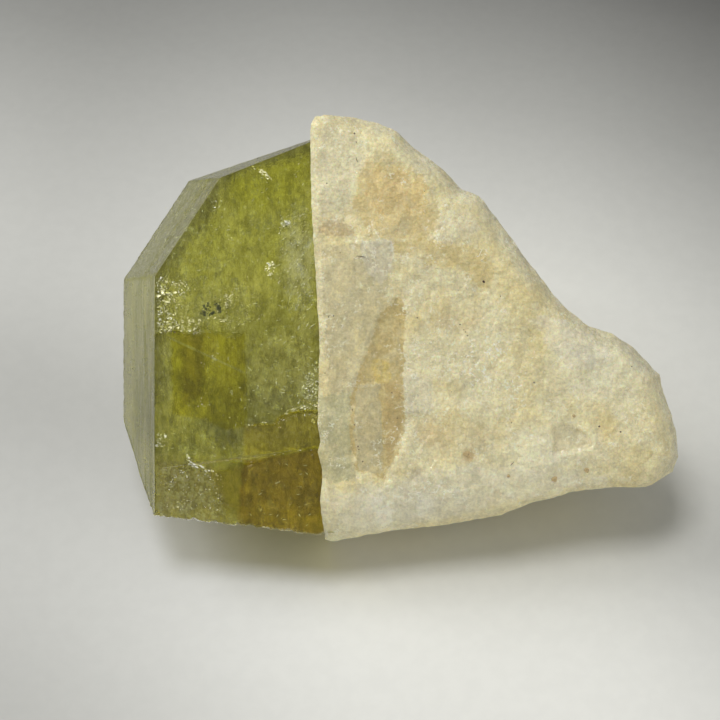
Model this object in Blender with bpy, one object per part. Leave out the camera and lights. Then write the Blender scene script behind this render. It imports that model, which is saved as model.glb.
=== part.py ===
"""Brazilianite specimen: a yellow-green crystal grown into a wedge of white feldspar and quartz rock.

Metres, +Z up. The broad front of the specimen leans back, and the shapes are laid out on it in millimetres: u runs
to the right along +X, v up the front and w straight out of it. The origin is under the middle of the specimen's box,
on the surface that it rests on.
"""

import math
import random

import bmesh
import bpy
from mathutils import Matrix, Vector, noise
from mathutils.geometry import delaunay_2d_cdt

MM = 0.001

# The stance: how steeply the front's normal rises, and how far the flat underside lies below the front's middle
FRONT_RISE = math.radians(50.0)
BASE_DROP = 22.0

# The crystal, from its broad front face at w = 0 to the face behind it
CRYSTAL_DEPTH = 18.0
CRYSTAL_LEFT = -26.25
SHOULDER_FOOT = 5.8
SHOULDER_TOP = (-19.3, 16.3)
TOP_AT_ROCK = 20.3
FOOT_LEFT = (-26.25, -19.8)
FOOT_RIGHT = (-9.8, -22.3)
CRYSTAL_END = -5.5
SEAT_FROM = -9.2
GAP = 0.3

# How the side and top faces run back from the front edge to the crystal's widest line, halfway back
SIDE_RUN = (-4.65, 0.0, -CRYSTAL_DEPTH / 2)
TOP_RUN = (-4.2, 0.6, -CRYSTAL_DEPTH / 2)

# Which way the faces look that close the crystal at its foot and inside the rock
FOOT_SIDE_OUT = (-0.56, -0.66, -0.5)
FOOT_OUT = (-0.15, -0.98, -0.12)
SEAT_OUT = (0.5, 0.0, 0.87)
SEAT_TOP_OUT = (0.6, 0.8, 0.0)
SEAT_FOOT_OUT = (0.5, -0.87, 0.0)

# Long grooves on the narrow faces: start and end along the face, low and high across it, and how deep
SIDE_GROOVES = [
    (-30, 3.0, 1.2, 2.6, 0.35), (-14, 4.6, 3.6, 4.5, 0.25), (-30, 1.2, 5.6, 7.4, 0.45), (-30, 4.9, 8.4, 13, 0.3),
]
SHOULDER_GROOVES = [
    (1.5, 11.0, 1.6, 2.9, 0.25), (-4, 7.0, 4.2, 5.4, 0.35), (2.4, 20, 6.4, 7.6, 0.3), (-4, 9.5, 8.6, 13, 0.4),
]
FAR_SIDE_GROOVES = [(-30, 2.0, -4.6, -2.4, 0.4), (-30, 5.0, -8.5, -6.0, 0.3)]
FAR_SHOULDER_GROOVES = [(0.5, 30, -6.0, -3.0, 0.35)]
GROOVE_PARTS, GROOVE_WOBBLE = 7, 0.16

# Small flat chips broken from its edges: a point, the way the chip looks and its reach
CHIPS = [
    ((CRYSTAL_LEFT + 0.3, -11.2, -0.2), (-0.7, -0.35, 0.62), 1.1),
    ((CRYSTAL_LEFT + 0.2, -18.6, -0.3), (-0.6, -0.62, 0.5), 2.6),
    ((-20.5, -20.4, -1.2), (-0.1, -0.75, 0.66), 2.6),
    ((-15.0, -21.6, -0.9), (0.12, -0.8, 0.6), 2.2),
    ((-30.4, 5.6, -9.4), (-0.9, 0.35, -0.2), 1.6),
]
CHIP_CORNERS = (0.2, 1.4, 2.3, 3.6, 4.4, 5.5)
CHIP_NARROWING = 0.8
CHIP_GRAIN = (0.31, 0.94, 0.12)

# Cutters stand this far out of the crystal, and a step's cutter reaches this far past it
CLEAR = 3.0
REACH = 40.0

# The rock, as seen from the front, clockwise from its upper left corner
LIP = 1.6
ROCK_OUTLINE = [
    (-9.6, 21.6), (-8.7, 22.9), (-5.2, 22.9), (-2.5, 22.3), (-0.3, 21.4), (1.1, 20.0), (4.6, 17.4), (6.7, 15.2),
    (8.5, 14.5), (11.1, 11.3), (13.9, 7.4), (16.6, 3.9), (18.2, 2.2), (20.5, 0.4), (22.9, -0.3), (25.1, -1.7),
    (28.0, -4.8), (28.4, -6.7), (29.9, -10.6), (30.2, -13.6), (29.7, -15.4), (26.7, -16.9), (22.1, -17.0),
    (18.7, -17.4), (13.9, -18.7), (11.0, -19.9), (5.2, -21.0), (-0.7, -21.6), (-7.4, -22.8), (-8.1, -22.5),
    (-8.5, -18.3), (-8.3, -14.9), (-8.8, -13.0), (-8.5, -11.9), (-8.8, -9.8), (-8.6, -1.1), (-9.2, 8.6), (-9.5, 16.0),
]
ROCK_MIDDLE = (-5.0, -3.0)
ROCK_BACK = [(-9.0, -25.0), (4.0, -27.0), (20.0, -19.0), (30.0, -12.0)]
ROCK_STEP = 1.25
ROCK_WALL_RINGS = 12
ROCK_BULGE = 0.03
ROCK_BACK_SCALE = 0.76

# The front falls back to the right, rolls back at its rim, by a width and a drop, and curls under along the bottom
FRONT_FALL = 0.045
UPPER_ROLL, LOWER_ROLL = (2.6, 2.2), (0.9, 0.45)
CURL, CURL_FROM, CURL_SLOPE = 0.05, -15.0, 0.12

# The broken relief: a rolling wave and blocks of two sizes, as size and height, how much of it reaches the smooth
# plate and recess, and how much stronger it is on the back
WAVE = (7.0, 0.5)
BLOCKS = [(4.5, 0.5), (1.9, 0.3)]
SMOOTH_SHARE = 0.25
BACK_ROUGHNESS, BACK_DISH = 1.6, 0.004

# Ledges and hollows on the rock's front, as outlines with a height
CLEAVED_PLATE = [
    (-7.7, 8.6), (-0.9, 9.2), (-0.6, 6.9), (-1.2, 4.4), (-3.3, -0.5), (-4.8, -6.0), (-5.1, -11.8), (-4.9, -16.6),
    (-7.4, -17.4), (-7.4, -6.0),
]
RECESS = [
    (-2.6, 0.2), (0.5, 0.6), (0.5, -5.1), (0.2, -10.9), (-0.3, -13.6), (-1.4, -16.1), (-4.2, -16.3), (-4.6, -11.6),
    (-4.3, -6.2),
]
RECESS_COLUMN = [(-3.9, -6.4), (-2.0, -6.2), (-1.9, -15.4), (-3.8, -15.2)]
STEPPED_PATCH = [(0.9, -4.2), (4.2, -4.6), (4.0, -9.2), (0.9, -9.6)]
BRIGHT_LOBE = [
    (13.8, 1.3), (15.5, -0.7), (16.4, -2.1), (17.8, -3.9), (21.4, -3.0), (23.6, -2.6), (20.2, -0.7), (17.8, 1.3),
    (15.6, 3.4),
]
POCKET = [(16.6, -10.4), (18.8, -10.2), (20.2, -11.6), (20.1, -12.6), (18.2, -13.1), (16.6, -12.8)]
ROCK_RELIEF = [
    (CLEAVED_PLATE, 0.55), (RECESS, -1.3), (RECESS_COLUMN, 0.6), (STEPPED_PATCH, 0.35), (BRIGHT_LOBE, 0.6),
    (POCKET, -1.4),
]
LEDGE_HALF_WIDTH = 0.14

# Steps on the crystal's front: each cuts the face back below a ragged line that runs from left to right
UPPER_PLATE_EDGE = [
    (-24.7, 0.0), (-23.0, -0.5), (-21.4, 0.3), (-19.8, 0.0), (-17.7, -0.5), (-16.6, -0.3), (-16.5, -10.0),
    (-13.6, -10.1), (-12.9, -9.3), (-11.5, -8.6), (-9.4, -8.4),
]
LOWER_PLATE_EDGE = [
    (-23.0, -14.6), (-20.0, -15.2), (-18.5, -15.1), (-18.2, -14.1), (-15.3, -14.2), (-13.8, -13.5), (-9.4, -12.5),
]
UPPER_STEP, LOWER_STEP = 0.45, 0.9

GREEN, CRYSTAL_ROUGHNESS, CRYSTAL_CLEARNESS, CRYSTAL_IOR = (0.36, 0.42, 0.10), 0.12, 0.9, 1.61
CREAM, ROCK_ROUGHNESS = (0.78, 0.71, 0.56), 0.6


def to_world(u, v, w):
    """A point of the front's own frame, in metres, before the specimen is centred."""
    rise, level = math.sin(FRONT_RISE), math.cos(FRONT_RISE)
    return Vector((u, v * rise - w * level, v * level + w * rise + BASE_DROP)) * MM


def front_matrix():
    """The matrix that carries the front's frame, in millimetres, to the world."""
    origin = to_world(0, 0, 0)
    axes = [to_world(*axis) - origin for axis in ((1, 0, 0), (0, 1, 0), (0, 0, 1))]
    turn = Matrix(axes).transposed().to_4x4()
    return Matrix.Translation(origin) @ turn


def new_object(name, mesh_data, hidden=False):
    """An object from a bmesh that is drawn in the front's frame. A hidden one is a cutter."""
    bmesh.ops.recalc_face_normals(mesh_data, faces=mesh_data.faces)
    mesh_data.transform(front_matrix())
    mesh = bpy.data.meshes.new(name)
    mesh_data.to_mesh(mesh)
    mesh_data.free()
    obj = bpy.data.objects.new(name, mesh)
    bpy.context.collection.objects.link(obj)
    if hidden:
        obj.hide_render = True
        obj.display_type = "WIRE"
    return obj


def cut_flat(mesh_data, point, normal):
    """Takes away what lies beyond a plane and closes the cut with one flat face."""
    everything = mesh_data.verts[:] + mesh_data.edges[:] + mesh_data.faces[:]
    cut = bmesh.ops.bisect_plane(
        mesh_data, geom=everything, dist=1e-5, plane_co=Vector(point), plane_no=Vector(normal), clear_outer=True
    )
    edges = [item for item in cut["geom_cut"] if isinstance(item, bmesh.types.BMEdge)]
    if edges:
        bmesh.ops.edgenet_fill(mesh_data, edges=edges)


def base_plane(lift=0.0):
    """The level plane that the specimen rests on, as a point and an outward normal."""
    down = Vector((0, -math.cos(FRONT_RISE), -math.sin(FRONT_RISE)))
    return down * (BASE_DROP - lift), down


def crystal_faces():
    """The crystal's flat faces, as points and outward normals, from the front to the back and then the seat."""
    shoulder_slope = Vector((SHOULDER_TOP[0] - CRYSTAL_LEFT, SHOULDER_TOP[1] - SHOULDER_FOOT, 0))
    top_slope = Vector((SEAT_FROM - SHOULDER_TOP[0], TOP_AT_ROCK - SHOULDER_TOP[1], 0))
    side_run, top_run = Vector(SIDE_RUN), Vector(TOP_RUN)
    paired = [
        ((0, 0, 0), Vector((0, 0, 1))),
        ((CRYSTAL_LEFT, 0, 0), Vector((0, 1, 0)).cross(side_run)),
        ((CRYSTAL_LEFT, SHOULDER_FOOT, 0), shoulder_slope.cross(side_run)),
        ((*SHOULDER_TOP, 0), top_slope.cross(top_run)),
        ((SEAT_FROM, 0, 0), Vector(SEAT_OUT)),
    ]
    single = [
        ((*FOOT_LEFT, 0), Vector(FOOT_SIDE_OUT)),
        ((*FOOT_RIGHT, 0), Vector(FOOT_OUT)),
        ((SEAT_FROM, TOP_AT_ROCK, 0), Vector(SEAT_TOP_OUT)),
        ((*FOOT_RIGHT, 0), Vector(SEAT_FOOT_OUT)),
        ((CRYSTAL_END, 0, 0), Vector((1, 0, 0))),
    ]
    behind = [((u, v, -CRYSTAL_DEPTH - w), Vector((n.x, n.y, -n.z))) for (u, v, w), n in paired]
    return [(Vector(point), normal.normalized()) for point, normal in paired + behind + single]


def crystal_block(grown):
    """The crystal's plain form. Each face is moved out by grown."""
    block = bmesh.new()
    bmesh.ops.create_cube(block, size=200.0)
    for point, normal in crystal_faces():
        cut_flat(block, point + normal * grown, normal)
    return block


def prism(frame, outline, low, high):
    """A straight prism over an outline, given in a face's own frame, from low to high along the face's normal."""
    body = bmesh.new()
    foot = [body.verts.new(frame @ Vector((x, y, low))) for x, y in outline]
    head = [body.verts.new(frame @ Vector((x, y, high))) for x, y in outline]
    body.faces.new(foot)
    body.faces.new(head)
    for i in range(len(outline)):
        j = (i + 1) % len(outline)
        body.faces.new((foot[i], foot[j], head[j], head[i]))
    return body


def face_frame(point, normal, along):
    """The frame of a crystal face: x along a direction in it, z out of it."""
    out = normal.normalized()
    across = out.cross(along).normalized()
    turn = Matrix((across.cross(out), across, out)).transposed().to_4x4()
    return Matrix.Translation(point) @ turn


def subtract(obj, cutter):
    """Cuts one object out of another."""
    modifier = obj.modifiers.new(cutter.name, "BOOLEAN")
    modifier.operation = "DIFFERENCE"
    modifier.solver = "EXACT"
    modifier.object = cutter


def step_below(obj, edge, depth, name):
    """Cuts the crystal's front back below a ragged line."""
    outline = [(-REACH, edge[0][1]), *edge, (0.0, edge[-1][1]), (0.0, -REACH), (-REACH, -REACH)]
    subtract(obj, new_object(name, prism(Matrix.Identity(4), outline, -depth, CLEAR), hidden=True))


def ragged_strip(start, end, low, high, seed):
    """A long strip along x between start and end, whose two long edges wander in small square steps."""
    chance = random.Random(seed)
    stops = [start + (end - start) * i / GROOVE_PARTS for i in range(GROOVE_PARTS + 1)]
    upper, lower = [], []
    for a, b in zip(stops, stops[1:]):
        rise, fall = chance.uniform(-GROOVE_WOBBLE, GROOVE_WOBBLE), chance.uniform(-GROOVE_WOBBLE, GROOVE_WOBBLE)
        upper += [(a, high + rise), (b, high + rise)]
        lower += [(a, low + fall), (b, low + fall)]
    return lower + upper[::-1]


def cut_striations(obj, faces):
    """Cuts the long ledges that run down the narrow prism faces and along the shoulders."""
    along_shoulder = Vector((SHOULDER_TOP[0] - CRYSTAL_LEFT, SHOULDER_TOP[1] - SHOULDER_FOOT, 0))
    upright = Vector((0, 1, 0))
    plans = [
        ("side", faces[1], upright, SIDE_GROOVES),
        ("shoulder", faces[2], along_shoulder, SHOULDER_GROOVES),
        ("far_side", faces[6], upright, FAR_SIDE_GROOVES),
        ("far_shoulder", faces[7], along_shoulder, FAR_SHOULDER_GROOVES),
    ]
    for label, (point, out), along, grooves in plans:
        frame = face_frame(point, out, along)
        for i, (start, end, low, high, depth) in enumerate(grooves):
            outline = ragged_strip(start, end, low, high, seed=len(label) + i)
            subtract(obj, new_object(f"{label}_groove_{i}", prism(frame, outline, -depth, CLEAR), hidden=True))


def cut_chips(obj):
    """Breaks small flat chips from the crystal's edges."""
    for i, (point, normal, reach) in enumerate(CHIPS):
        frame = face_frame(Vector(point), Vector(normal), Vector(CHIP_GRAIN))
        outline = [(reach * math.cos(t), reach * CHIP_NARROWING * math.sin(t)) for t in CHIP_CORNERS]
        subtract(obj, new_object(f"chip_{i}", prism(frame, outline, 0.0, CLEAR), hidden=True))


def build_crystal():
    """The crystal, stepped on its front, striated down its left side and flat underneath."""
    block = crystal_block(0.0)
    cut_flat(block, *base_plane())
    crystal = new_object("crystal", block)
    step_below(crystal, UPPER_PLATE_EDGE, UPPER_STEP, "upper_plate_step")
    step_below(crystal, LOWER_PLATE_EDGE, LOWER_STEP, "lower_plate_step")
    cut_striations(crystal, crystal_faces())
    cut_chips(crystal)
    return crystal


def along_line(points, x):
    """The height at x of a line through points that are in order of x."""
    for (x0, y0), (x1, y1) in zip(points, points[1:]):
        if x <= x1:
            return y0 + (y1 - y0) * max(0.0, (x - x0) / (x1 - x0))
    return points[-1][1]


def even_points(outline, step):
    """The outline's own closed line, with points a step apart."""
    points = []
    for (x0, y0), (x1, y1) in zip(outline, outline[1:] + outline[:1]):
        parts = max(1, round(math.hypot(x1 - x0, y1 - y0) / step))
        points += [(x0 + (x1 - x0) * i / parts, y0 + (y1 - y0) * i / parts) for i in range(parts)]
    return points


def inside(outline, x, y):
    """Whether a point lies inside a closed outline."""
    found = False
    for (x0, y0), (x1, y1) in zip(outline, outline[1:] + outline[:1]):
        if (y0 > y) != (y1 > y) and x < x0 + (x1 - x0) * (y - y0) / (y1 - y0):
            found = not found
    return found


def edge_distance(outline, x, y):
    """The distance from a point to the nearest side of an outline."""
    nearest = math.inf
    for (x0, y0), (x1, y1) in zip(outline, outline[1:] + outline[:1]):
        dx, dy = x1 - x0, y1 - y0
        t = min(1.0, max(0.0, ((x - x0) * dx + (y - y0) * dy) / (dx * dx + dy * dy)))
        nearest = min(nearest, math.hypot(x - x0 - t * dx, y - y0 - t * dy))
    return nearest


def widened(outline, by):
    """The outline with each of its points moved out by a small distance, or in where that is negative."""
    moved = []
    for i, (x, y) in enumerate(outline):
        (xa, ya), (xb, yb) = outline[i - 1], outline[(i + 1) % len(outline)]
        side = Vector((yb - ya, xa - xb)).normalized() * by
        if inside(outline, x + side.x * 0.01, y + side.y * 0.01) == (by > 0):
            side.negate()
        moved.append((x + side.x, y + side.y))
    return moved


def grain_height(u, v, w):
    """The broken, grainy relief of the rock: flat-topped blocks of two sizes and a rolling wave."""
    wave_size, wave_height = WAVE
    height = wave_height * noise.noise(Vector((u, v, w)) / wave_size)
    for size, amount in BLOCKS:
        cell = noise.voronoi(Vector((u, v, w)) / size)[1][0]
        height += amount * (noise.cell(cell * 7.3) - 0.5)
    return height


def rock_front(u, v):
    """How far the rock's front stands out, with its ledges, hollows and rounded upper edge."""
    height = LIP - FRONT_FALL * (u - SEAT_FROM)
    upper_right = v > -3.0 - 0.5 * u and u > -7.0
    near = edge_distance(ROCK_OUTLINE, u, v)
    roll, drop = UPPER_ROLL if upper_right else LOWER_ROLL
    if near < roll:
        height -= drop * (1.0 - near / roll) ** 2
    height -= CURL * max(0.0, CURL_FROM - v + CURL_SLOPE * u) ** 2
    smooth = SMOOTH_SHARE if inside(CLEAVED_PLATE, u, v) or inside(RECESS, u, v) else 1.0
    height += smooth * grain_height(u, v, 0.0)
    return height + sum(rise for outline, rise in ROCK_RELIEF if inside(outline, u, v))


def rock_back(u, v):
    """How far back the rock reaches behind a point of its front."""
    roughness = BACK_ROUGHNESS * grain_height(u, v, ROCK_BACK[-1][0])
    return along_line(ROCK_BACK, u) + roughness + BACK_DISH * (v - ROCK_MIDDLE[1]) ** 2


def filled(ring, extra_edges, inner_step, keep_off, seed):
    """Triangles over a closed ring of points, with ledge lines and jittered inner points."""
    chance = random.Random(seed)
    points, edges = list(ring), [(i, (i + 1) % len(ring)) for i in range(len(ring))]
    for line in extra_edges:
        first = len(points)
        points += line
        edges += [(first + i, first + (i + 1) % len(line)) for i in range(len(line))]
    lines = [ring, *extra_edges]
    left, right = min(x for x, _ in ring), max(x for x, _ in ring)
    low, high = min(y for _, y in ring), max(y for _, y in ring)
    for row in range(int((high - low) / inner_step) + 1):
        for column in range(int((right - left) / inner_step) + 1):
            x = left + (column + 0.5 * (row % 2) + chance.uniform(-0.3, 0.3)) * inner_step
            y = low + (row + chance.uniform(-0.3, 0.3)) * inner_step
            if inside(ring, x, y) and min(edge_distance(line, x, y) for line in lines) > keep_off:
                points.append((x, y))
    flat = [Vector(point) for point in points]
    found = delaunay_2d_cdt(flat, edges, [], 1, 0.01)
    return [tuple(point) for point in found[0]], found[2]


def scaled_ring(ring, scale):
    """The ring drawn towards the rock's middle."""
    (cu, cv) = ROCK_MIDDLE
    return [(cu + (u - cu) * scale, cv + (v - cv) * scale) for u, v in ring]


def add_patch(body, points, faces, height):
    """Adds triangles to the rock, each point raised to its height."""
    made = [body.verts.new((u, v, height(u, v))) for u, v in points]
    for face in faces:
        body.faces.new([made[i] for i in face])


def wall_scale(share):
    """How wide the rock is at a share of its depth: it swells a little behind the front and then draws in."""
    return 1.0 + ROCK_BULGE * math.sin(math.pi * share) - (1.0 - ROCK_BACK_SCALE) * share ** 2.6


def rough_wall(u, v, w):
    """A point of the rock's side wall, moved in and out by the broken relief."""
    (cu, cv) = ROCK_MIDDLE
    outward = Vector((u - cu, v - cv)).normalized() * grain_height(u, v, w)
    return (u + outward.x, v + outward.y, w)


def build_rock():
    """The wedge of rock, with the crystal's seat cut into its left end and a flat break underneath."""
    body = bmesh.new()
    ring = even_points(ROCK_OUTLINE, ROCK_STEP)
    ledges = []
    for outline, _ in ROCK_RELIEF:
        line = even_points(outline, ROCK_STEP * 1.5)
        ledges += [widened(line, LEDGE_HALF_WIDTH), widened(line, -LEDGE_HALF_WIDTH)]
    add_patch(body, *filled(ring, ledges, ROCK_STEP, 0.5, seed=5), rock_front)
    back_ring = scaled_ring(ring, ROCK_BACK_SCALE)
    add_patch(body, *filled(back_ring, [], ROCK_STEP * 1.3, 0.7, seed=9), rock_back)
    rings = [[(u, v, rock_front(u, v)) for u, v in ring]]
    for i in range(1, ROCK_WALL_RINGS):
        share = i / ROCK_WALL_RINGS
        points = []
        for (u, v), (su, sv) in zip(ring, scaled_ring(ring, wall_scale(share))):
            depth = rock_front(u, v) * (1 - share) + rock_back(u, v) * share
            points.append(rough_wall(su, sv, depth))
        rings.append(points)
    rings.append([(u, v, rock_back(u, v)) for u, v in back_ring])
    loops = [[body.verts.new(point) for point in points] for points in rings]
    for front, back in zip(loops, loops[1:]):
        for i in range(len(front)):
            j = (i + 1) % len(front)
            body.faces.new((front[i], front[j], back[j]))
            body.faces.new((front[i], back[j], back[i]))
    bmesh.ops.remove_doubles(body, verts=body.verts, dist=0.002)
    cut_flat(body, *base_plane())
    rock = new_object("matrix", body)
    subtract(rock, new_object("seat_cutter", crystal_block(GAP), hidden=True))
    return rock


def dress(obj, colour, roughness, transmission=0.0, ior=1.5):
    """Gives an object its own material."""
    material = bpy.data.materials.new(obj.name)
    material.use_nodes = True
    shader = material.node_tree.nodes["Principled BSDF"]
    shader.inputs["Base Color"].default_value = (*colour, 1.0)
    shader.inputs["Roughness"].default_value = roughness
    shader.inputs["Metallic"].default_value = 0.0
    shader.inputs["Transmission Weight"].default_value = transmission
    shader.inputs["IOR"].default_value = ior
    obj.data.materials.append(material)


def centre_on_base(objects):
    """Moves everything level, so that the middle of the two solids' box stands over the origin."""
    bpy.context.view_layer.update()
    graph = bpy.context.evaluated_depsgraph_get()
    corners = []
    for obj in objects:
        evaluated = obj.evaluated_get(graph)
        corners += [evaluated.matrix_world @ vertex.co for vertex in evaluated.to_mesh().vertices]
        evaluated.to_mesh_clear()
    xs, ys = [c.x for c in corners], [c.y for c in corners]
    shift = Vector((-(min(xs) + max(xs)) / 2, -(min(ys) + max(ys)) / 2, 0.0))
    for obj in bpy.data.objects:
        obj.location += shift
    print("centred by", [round(value / MM, 4) for value in shift])


def main():
    """Clears the scene and builds the specimen."""
    for obj in list(bpy.data.objects):
        bpy.data.objects.remove(obj, do_unlink=True)
    crystal = build_crystal()
    rock = build_rock()
    dress(crystal, GREEN, CRYSTAL_ROUGHNESS, transmission=CRYSTAL_CLEARNESS, ior=CRYSTAL_IOR)
    dress(rock, CREAM, ROCK_ROUGHNESS)
    centre_on_base([crystal, rock])


main()
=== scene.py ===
"""Looks of the brazilianite specimen: its clear crystal, the fractures inside it, the grainy rock and the studio.

Shapes are laid out on the specimen's broad front, which leans back: u runs to the right, v up the front and w out of
it, all in millimetres. The same frame places the camera, which faces that front squarely.
"""

import itertools
import logging
import math
import random
from dataclasses import dataclass, field, replace
from enum import Enum
from typing import Iterable, Sequence

import bpy
import numpy as np
from mathutils import Matrix, Vector, noise
from mathutils.geometry import delaunay_2d_cdt

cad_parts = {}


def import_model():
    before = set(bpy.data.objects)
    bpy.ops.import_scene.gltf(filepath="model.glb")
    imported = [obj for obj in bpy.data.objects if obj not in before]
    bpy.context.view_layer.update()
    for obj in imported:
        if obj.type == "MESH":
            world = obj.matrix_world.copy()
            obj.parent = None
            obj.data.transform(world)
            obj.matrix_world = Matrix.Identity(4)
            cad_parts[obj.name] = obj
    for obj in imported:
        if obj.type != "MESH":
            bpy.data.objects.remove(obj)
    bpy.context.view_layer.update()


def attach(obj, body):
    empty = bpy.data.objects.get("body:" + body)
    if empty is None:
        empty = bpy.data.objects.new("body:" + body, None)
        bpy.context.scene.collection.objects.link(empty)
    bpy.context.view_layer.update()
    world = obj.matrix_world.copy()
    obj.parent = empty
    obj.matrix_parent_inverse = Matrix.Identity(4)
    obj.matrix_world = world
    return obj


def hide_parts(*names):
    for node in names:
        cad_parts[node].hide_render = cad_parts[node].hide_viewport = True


MM = 0.001
NOISE_SEED = 5  # without it noise_vector starts from the clock, and each run differs
LOG = logging.getLogger("specimen")

Point2 = tuple[float, float]
Colour = tuple[float, float, float]


@dataclass(frozen=True)
class Front:
    """The frame of the specimen's broad front, and how it stands in the world."""

    rise: float = math.radians(50.0)
    drop: float = 22.0
    centred_by: Point2 = (0.2329, -6.1149)

    def matrix(self) -> Matrix:
        """Carries the front's frame, in metres, to the world."""
        rise, level = math.sin(self.rise), math.cos(self.rise)
        columns = Matrix(((1, 0, 0), (0, rise, level), (0, -level, rise))).transposed()
        place = Vector((self.centred_by[0], self.centred_by[1], self.drop)) * MM
        return Matrix.Translation(place) @ columns.to_4x4()

    def at(self, u: float, v: float, w: float) -> Vector:
        """The world place of a point of the front's frame, given in millimetres."""
        return self.matrix() @ (Vector((u, v, w)) * MM)


FRONT = Front()


class Outline:
    """A closed outline on the front, with tests that take many points at once."""

    def __init__(self, points: Sequence[Point2]) -> None:
        """Args:
            points: The corners in order.
        """
        self.points = np.array(points, float)

    def evened(self, step: float) -> "Outline":
        """The same outline with points about a step apart.

        Args:
            step: The spacing in millimetres.

        Returns:
            A new outline.
        """
        made = []
        for a, b in zip(self.points, np.roll(self.points, -1, axis=0)):
            parts = max(1, round(float(np.linalg.norm(b - a)) / step))
            made += [tuple(a + (b - a) * i / parts) for i in range(parts)]
        return Outline(made)

    def ragged(self, step: float, amount: float, size: float, seed: float) -> "Outline":
        """The outline as a broken edge: evened and pushed about by noise.

        Args:
            step: The spacing in millimetres.
            amount: How far points move.
            size: How long the waves are.
            seed: Which stretch of noise is used.

        Returns:
            A new outline.
        """
        made = []
        for x, y in self.evened(step).points:
            push = noise.noise_vector(Vector((x / size, y / size, seed)))
            fine = noise.noise_vector(Vector((x / size * 2.7, y / size * 2.7, seed + 5.0)))
            made.append((x + amount * (push.x + 0.5 * fine.x), y + amount * (push.y + 0.5 * fine.y)))
        return Outline(made)

    def offset(self, by: float) -> "Outline":
        """The outline moved sideways, outwards for a positive distance if its corners run clockwise."""
        before, after = np.roll(self.points, 1, axis=0), np.roll(self.points, -1, axis=0)
        run = after - before
        side = np.stack([-run[:, 1], run[:, 0]], axis=1)
        return Outline(self.points + by * side / np.maximum(np.linalg.norm(side, axis=1), 1e-9)[:, None])

    def holds(self, points: np.ndarray) -> np.ndarray:
        """Which points lie inside.

        Args:
            points: Rows of two coordinates.

        Returns:
            One truth value a row.
        """
        found = np.zeros(len(points), bool)
        x, y = points[:, 0], points[:, 1]
        for (x0, y0), (x1, y1) in zip(self.points, np.roll(self.points, -1, axis=0)):
            if y0 == y1:
                continue
            crosses = (y0 > y) != (y1 > y)
            found ^= crosses & (x < x0 + (x1 - x0) * (y - y0) / (y1 - y0))
        return found

    def distance(self, points: np.ndarray) -> np.ndarray:
        """How far points lie from the outline's line.

        Args:
            points: Rows of two coordinates.

        Returns:
            One distance a row, in millimetres.
        """
        nearest = np.full(len(points), np.inf)
        for a, b in zip(self.points, np.roll(self.points, -1, axis=0)):
            run = b - a
            length = float(run @ run)
            t = np.clip((points - a) @ run / length, 0.0, 1.0) if length else 0.0
            gap = points - a - np.outer(t, run) if length else points - a
            nearest = np.minimum(nearest, np.einsum("ij,ij->i", gap, gap))
        return np.sqrt(nearest)


@dataclass
class Sheet:
    """Triangles over a closed outline, with lines that the triangles keep to."""

    ring: Outline
    step: float
    lines: list[Outline] = field(default_factory=list)
    keep_off: float = 0.6
    squeeze: float = 1.0
    seed: int = 3

    def triangles(self) -> tuple[np.ndarray, list[tuple[int, ...]]]:
        """Fills the outline.

        Returns:
            The points, of which the first are the ring's own, and the triangles.
        """
        scale = np.array([1.0, self.squeeze])
        rings = [self.ring.points * scale] + [line.points * scale for line in self.lines]
        points, edges = [], []
        for ring in rings:
            first, count = len(points), len(ring)
            points += [tuple(point) for point in ring]
            edges += [(first + i, first + (i + 1) % count) for i in range(count)]
        chance = np.random.default_rng(self.seed)
        low, high = rings[0].min(axis=0), rings[0].max(axis=0)
        rows = np.arange(low[1], high[1], self.step * 0.87)
        columns = np.arange(low[0], high[0], self.step)
        grid = np.stack(np.meshgrid(columns, rows), axis=-1)
        grid[1::2, :, 0] += self.step / 2
        grid = grid.reshape(-1, 2) + chance.uniform(-0.22, 0.22, (grid.size // 2, 2)) * self.step
        keep = Outline(rings[0]).holds(grid)
        for ring in rings:
            keep[keep] = Outline(ring).distance(grid[keep]) > self.keep_off * self.step
        points += [tuple(point) for point in grid[keep]]
        found = delaunay_2d_cdt([Vector(point) for point in points], edges, [], 1, 1e-4)
        return np.array([tuple(point) for point in found[0]]) / scale, [tuple(face) for face in found[2]]


def ease(value: float) -> float:
    """A smooth rise from 0 to 1."""
    value = min(1.0, max(0.0, value))
    return value * value * (3.0 - 2.0 * value)


def wander(point: Vector, octaves: int = 3) -> float:
    """Rolling noise of several sizes, from about -1 to 1."""
    return noise.fractal(point, 0.8, 2.1, octaves)


def grain_facet(point: Vector, size: float, tilt: float) -> float:
    """The height of one of many small flat grains, each tilted its own way.

    Args:
        point: Where, in millimetres.
        size: The grains' size.
        tilt: The steepest slope.

    Returns:
        The height in millimetres.
    """
    centre = noise.voronoi(point / size)[1][0]
    lean = noise.noise_vector(centre * 3.7)
    return (point / size - centre).dot(lean) * size * tilt


def new_piece(name: str, points: Sequence[Vector], faces: Iterable[Sequence[int]], replaces: str = "") -> bpy.types.Object:
    """Makes a piece from points in the front's frame and puts it on the specimen.

    Args:
        name: The piece's name.
        points: Its points in millimetres.
        faces: Its faces, as indices.
        replaces: The solid that it stands for, if any.

    Returns:
        The object.
    """
    mesh = bpy.data.meshes.new(name)
    mesh.from_pydata([tuple(point) for point in np.array(points, float) * MM], [], list(faces))
    mesh.transform(FRONT.matrix())
    mesh.validate()
    mesh.update()
    piece = bpy.data.objects.new(name, mesh)
    bpy.context.scene.collection.objects.link(piece)
    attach(piece, "root")
    if replaces:
        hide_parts(replaces)
    return piece


def add_mask(piece: bpy.types.Object, name: str, values: Sequence[float]) -> None:
    """Stores one value a point on a piece, for its material to read."""
    layer = piece.data.attributes.new(name, "FLOAT", "POINT")
    layer.data.foreach_set("value", np.array(values, np.float32))


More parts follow.
